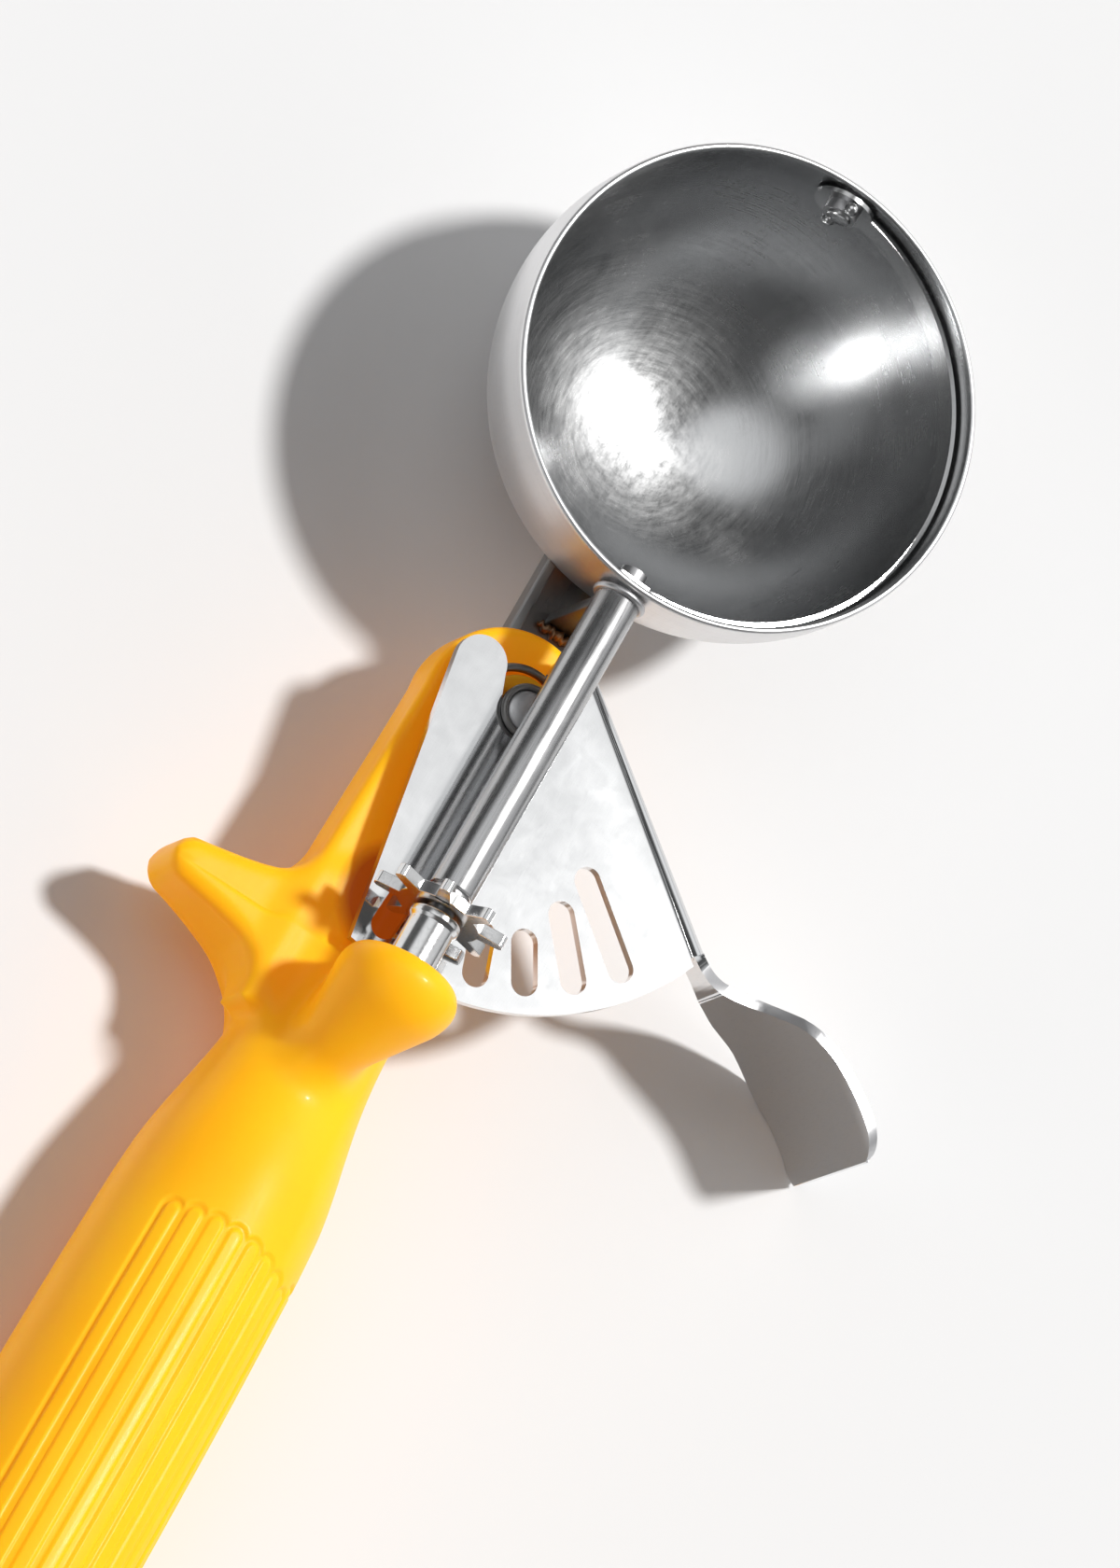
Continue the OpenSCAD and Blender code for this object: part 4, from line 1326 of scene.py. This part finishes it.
@dataclass
class Lever:
    """Slotted plate, bent edge and thumb pad.

    Plan distances start at the pivot, along and square to the bent edge. The curves hold (distance along the
    pad's chord from the neck's end, height): those of the CAD node, and the finer ones that replace them.
    """

    edge_angle: float = 232.9
    edge_off: float = 10.037
    edge_start: float = -0.907
    edge_length: float = 31.734
    edge_reach: float = 1.25
    edge_foot: float = -31.0
    wall_top: float = -7.5
    neck_end: tuple = (-11.915, -35.287)
    neck_overlap: float = 0.35
    chord_angle: float = 254.9
    pad_end: float = 24.51
    sheet_edge: float = 0.22
    sharp: float = 35.0
    cad_low: tuple = (
        (-8.5, -11.5), (-5.5, -12.5), (-1.5, -15.2), (2.2, -17.2), (5.2, -20), (8.5, -24), (12, -26.2), (17, -27),
    )
    cad_high: tuple = ((-6.5, -5.7), (-3.5, -8), (0, -9), (4, -8.9), (10, -7.8), (15, -6.6), (20, -6))
    cad_floor: float = -27.0
    cad_ceiling: float = -6.0
    cad_corner: float = 6.0
    low: tuple = (
        (-8.5, -9.2), (-5.1, -9.3), (-3, -9.9), (-0.9, -12.0), (0, -13.4), (1.9, -16.5), (3.8, -19.1),
        (5.9, -20.9), (8, -22.3), (10.1, -24.0), (12.3, -25.6), (14.4, -26.6), (16.5, -26.95), (26, -26.95),
    )
    high: tuple = (
        (-6.5, -5.7), (-3.5, -6.0), (-1.5, -6.7), (0, -7.5), (1.9, -8.3), (3.8, -7.9), (5.9, -6.7), (8, -5.1),
        (10.1, -4.4), (12.3, -4.3), (16.5, -4.9), (20.7, -5.2), (26, -5.6),
    )
    low_corner: float = 2.2
    high_corner: float = 3.5

    def cad_edges(self, r: np.ndarray) -> tuple[np.ndarray, np.ndarray]:
        """Lower and upper edge of neck and pad in the CAD node: straight pieces and round corners.

        Args:
            r: distance along the pad's chord from the neck's end.

        Returns:
            Heights of the lower and of the upper edge at each r.
        """
        low, high = np.interp(r, *zip(*self.cad_low)), np.interp(r, *zip(*self.cad_high))
        drop = corner_drop(r, self.pad_end, self.cad_corner)
        return np.maximum(low, self.cad_floor + drop), np.minimum(high, self.cad_ceiling - drop)

    def drawn_edges(self, r: np.ndarray) -> tuple[np.ndarray, np.ndarray]:
        """Lower and upper edge of neck and pad as they are drawn here: smooth curves and round corners.

        Args:
            r: distance along the pad's chord from the neck's end.

        Returns:
            Heights of the lower and of the upper edge at each r.
        """
        low = np.maximum(curve_through(r, self.low), self.low[-1][1]) + corner_drop(r, self.pad_end, self.low_corner)
        return low, curve_through(r, self.high) - corner_drop(r, self.pad_end, self.high_corner)

    def ease_neck(self, plate: bpy.types.Object) -> None:
        """Draws the flange, neck and pad finer: each height keeps its share of the way between its two edges.

        Args:
            plate: the lever's sheet.
        """
        points = read_points(plate.data)
        z = points[:, 2]
        a, c = math.radians(self.edge_angle), math.radians(self.chord_angle)
        plan = points[:, :2] - np.array(PIVOT)
        along = plan @ np.array([math.cos(a), math.sin(a)])
        across = plan @ np.array([-math.sin(a), math.cos(a)])
        wall = across > self.edge_off - self.edge_reach
        neck = along >= self.edge_start + self.edge_length - self.neck_overlap
        flange = wall & ~neck & (z < self.wall_top - 0.1)
        share = np.clip((along - self.edge_start) / self.edge_length, 0, 1)
        eased = self.wall_top + (z - self.wall_top) * (0.8 + share) / (0.8 + 3.2 * share)
        r = (plan - np.array(self.neck_end)) @ np.array([math.cos(c), math.sin(c)])
        (low, high), (new_low, new_high) = self.cad_edges(r), self.drawn_edges(r)
        drawn = new_low + (z - low) / (high - low) * (new_high - new_low)
        points[:, 2] = np.where(flange, eased, np.where(wall & neck, drawn, z))
        write_points(plate.data, points)

    def build(self, palette: Palette) -> None:
        """Makes the lever: level faces at the pad are its satin sheared edge.

        Args:
            palette: the scoop's finishes.
        """
        plate = dressed_copy("lever_plate", "lever_sheet", self.sheet_edge, self.sharp)
        self.ease_neck(plate)
        settle(plate, palette.plate, "polished_steel", LEVER_BODY, "lever_plate")
        plate.data.materials.append(palette.satin)
        for face in plate.data.polygons:
            sheared = face.center.y < self.edge_foot * MM and abs(face.normal.z) > 0.3
            face.material_index = int(sheared)


# ---------------------------------------------------------------- studio


@dataclass(frozen=True)
class Panel:
    """Soft panel: where it stands, its bright and its whole half angle in degrees, its strength."""

    toward: tuple
    inner: float
    outer: float
    strength: float


@dataclass
class Studio:
    """Floor, light and camera. Lengths in millimetres, sun_spread in degrees, roll in radians."""

    floor_z: float = -27.0
    floor_half: float = 1500.0
    floor_lines: int = 40
    paper: tuple = (rgb(0.815, 0.815, 0.82), rgb(0.82, 0.82, 0.825))
    eye: tuple = (-592.9, 371.5, 1346.4)
    aim: tuple = (-48.93, -4.50, 0.0)
    roll: float = 1.1759
    lens: float = 451.94
    film: float = 36.0
    sight: float = 20.0
    key: tuple = (0.324, -0.356, 0.876)
    sun_strength: float = 2.88
    sun_spread: float = 6.5
    sun_tint: tuple = (1.0, 0.99, 0.975)
    gloom: float = 0.09
    tint: tuple = (0.98, 0.99, 1.0)
    panels: tuple = (
        Panel((0.05, 0.46, 0.88), 14, 30, 0.85),
        Panel((-0.72, 0.55, 0.42), 8, 22, 0.70),
        Panel((0.12, -0.86, 0.5), 10, 28, 0.60),
        Panel((0.74, -0.54, 0.32), 8, 26, 0.85),
        Panel((0.363, -0.251, 0.898), 2, 17, 0.66),
    )

    def camera(self) -> None:
        """Long lens from above, turned about its own axis."""
        data = bpy.data.cameras.new("camera")
        data.lens = self.lens
        data.sensor_width = self.film
        data.sensor_fit = "HORIZONTAL"
        data.clip_end = self.sight
        cam = bpy.data.objects.new("camera", data)
        bpy.context.scene.collection.objects.link(cam)
        ahead = (Vector(self.aim) - Vector(self.eye)).normalized()
        right = ahead.cross(Vector((0, 0, 1))).normalized()
        up = right.cross(ahead)
        c, s = math.cos(self.roll), math.sin(self.roll)
        turn = Matrix((c * right + s * up, -s * right + c * up, -ahead)).transposed()
        cam.matrix_world = Matrix.Translation(Vector(self.eye) * MM) @ turn.to_4x4()
        bpy.context.scene.camera = cam

    def floor(self) -> None:
        """Wide pale sheet under the scoop, with a faint slow change of tone."""
        n = self.floor_lines
        u = np.linspace(-self.floor_half, self.floor_half, n)
        gx, gy = np.meshgrid(u, u, indexing="ij")
        grid = np.stack([gx, gy, np.full_like(gx, self.floor_z)], -1)
        i, j = np.meshgrid(np.arange(n - 1), np.arange(n - 1), indexing="ij")
        quads = np.stack([i * n + j, (i + 1) * n + j, (i + 1) * n + j + 1, i * n + j + 1], -1).reshape(-1, 4)
        obj = put_mesh("floor", grid.reshape(-1, 3), quads)
        r = Recipe("floor_paper")
        colour = r.blend(r.remap(r.noise(r.place, 8, 2), 0.3, 0.7, 0, 1), *self.paper)
        obj.data.materials.append(r.finish(in_Base_Color=colour, in_Roughness=0.9, in_Specular_IOR_Level=0.0))

    def sun(self) -> None:
        """Hard key light from one side."""
        data = bpy.data.lights.new("key", "SUN")
        data.energy = self.sun_strength
        data.angle = math.radians(self.sun_spread)
        data.color = self.sun_tint
        obj = bpy.data.objects.new("key", data)
        obj.rotation_mode = "QUATERNION"
        obj.rotation_quaternion = Vector(self.key).to_track_quat("Z", "Y")
        bpy.context.scene.collection.objects.link(obj)

    def room(self) -> None:
        """Dim room with soft panels: each adds its strength, stepped smoothly over its edge angle."""
        world = bpy.data.worlds.new("room")
        world.use_nodes = True
        tree = world.node_tree
        tree.nodes.clear()
        where = add_node(tree, "TexCoord").outputs["Generated"]
        total = self.gloom
        for panel in self.panels:
            toward = Vector(panel.toward).normalized()
            dot = add_node(tree, "VectorMath", operation="DOT_PRODUCT", in_0=where, in_1=toward)
            step = add_node(
                tree,
                "MapRange",
                interpolation_type="SMOOTHSTEP",
                in_0=dot.outputs["Value"],
                in_1=math.cos(math.radians(panel.outer)),
                in_2=math.cos(math.radians(panel.inner)),
                in_4=panel.strength,
            )
            total = add_node(tree, "Math", operation="ADD", in_0=step.outputs[0], in_1=total).outputs[0]
        tint = add_node(tree, "VectorMath", operation="SCALE", in_0=self.tint, in_Scale=total)
        sky = add_node(tree, "Background", in_0=tint.outputs[0])
        add_node(tree, "OutputWorld", in_0=sky.outputs[0])
        bpy.context.scene.world = world

    def build(self) -> None:
        """Makes the studio."""
        self.camera()
        self.floor()
        self.sun()
        self.room()
        bpy.context.scene.view_settings.view_transform = "Standard"


def main() -> None:
    """Builds every sub-assembly."""
    logging.basicConfig(level=logging.INFO, format="%(name)s %(message)s")
    Studio().build()
    palette = Palette()
    for part in (Handle(), Bowl(), Shank(), Saddle(), Pivot(), Drive(), Scraper(), Lever()):
        part.build(palette)


if __name__ == "__main__":
    main()
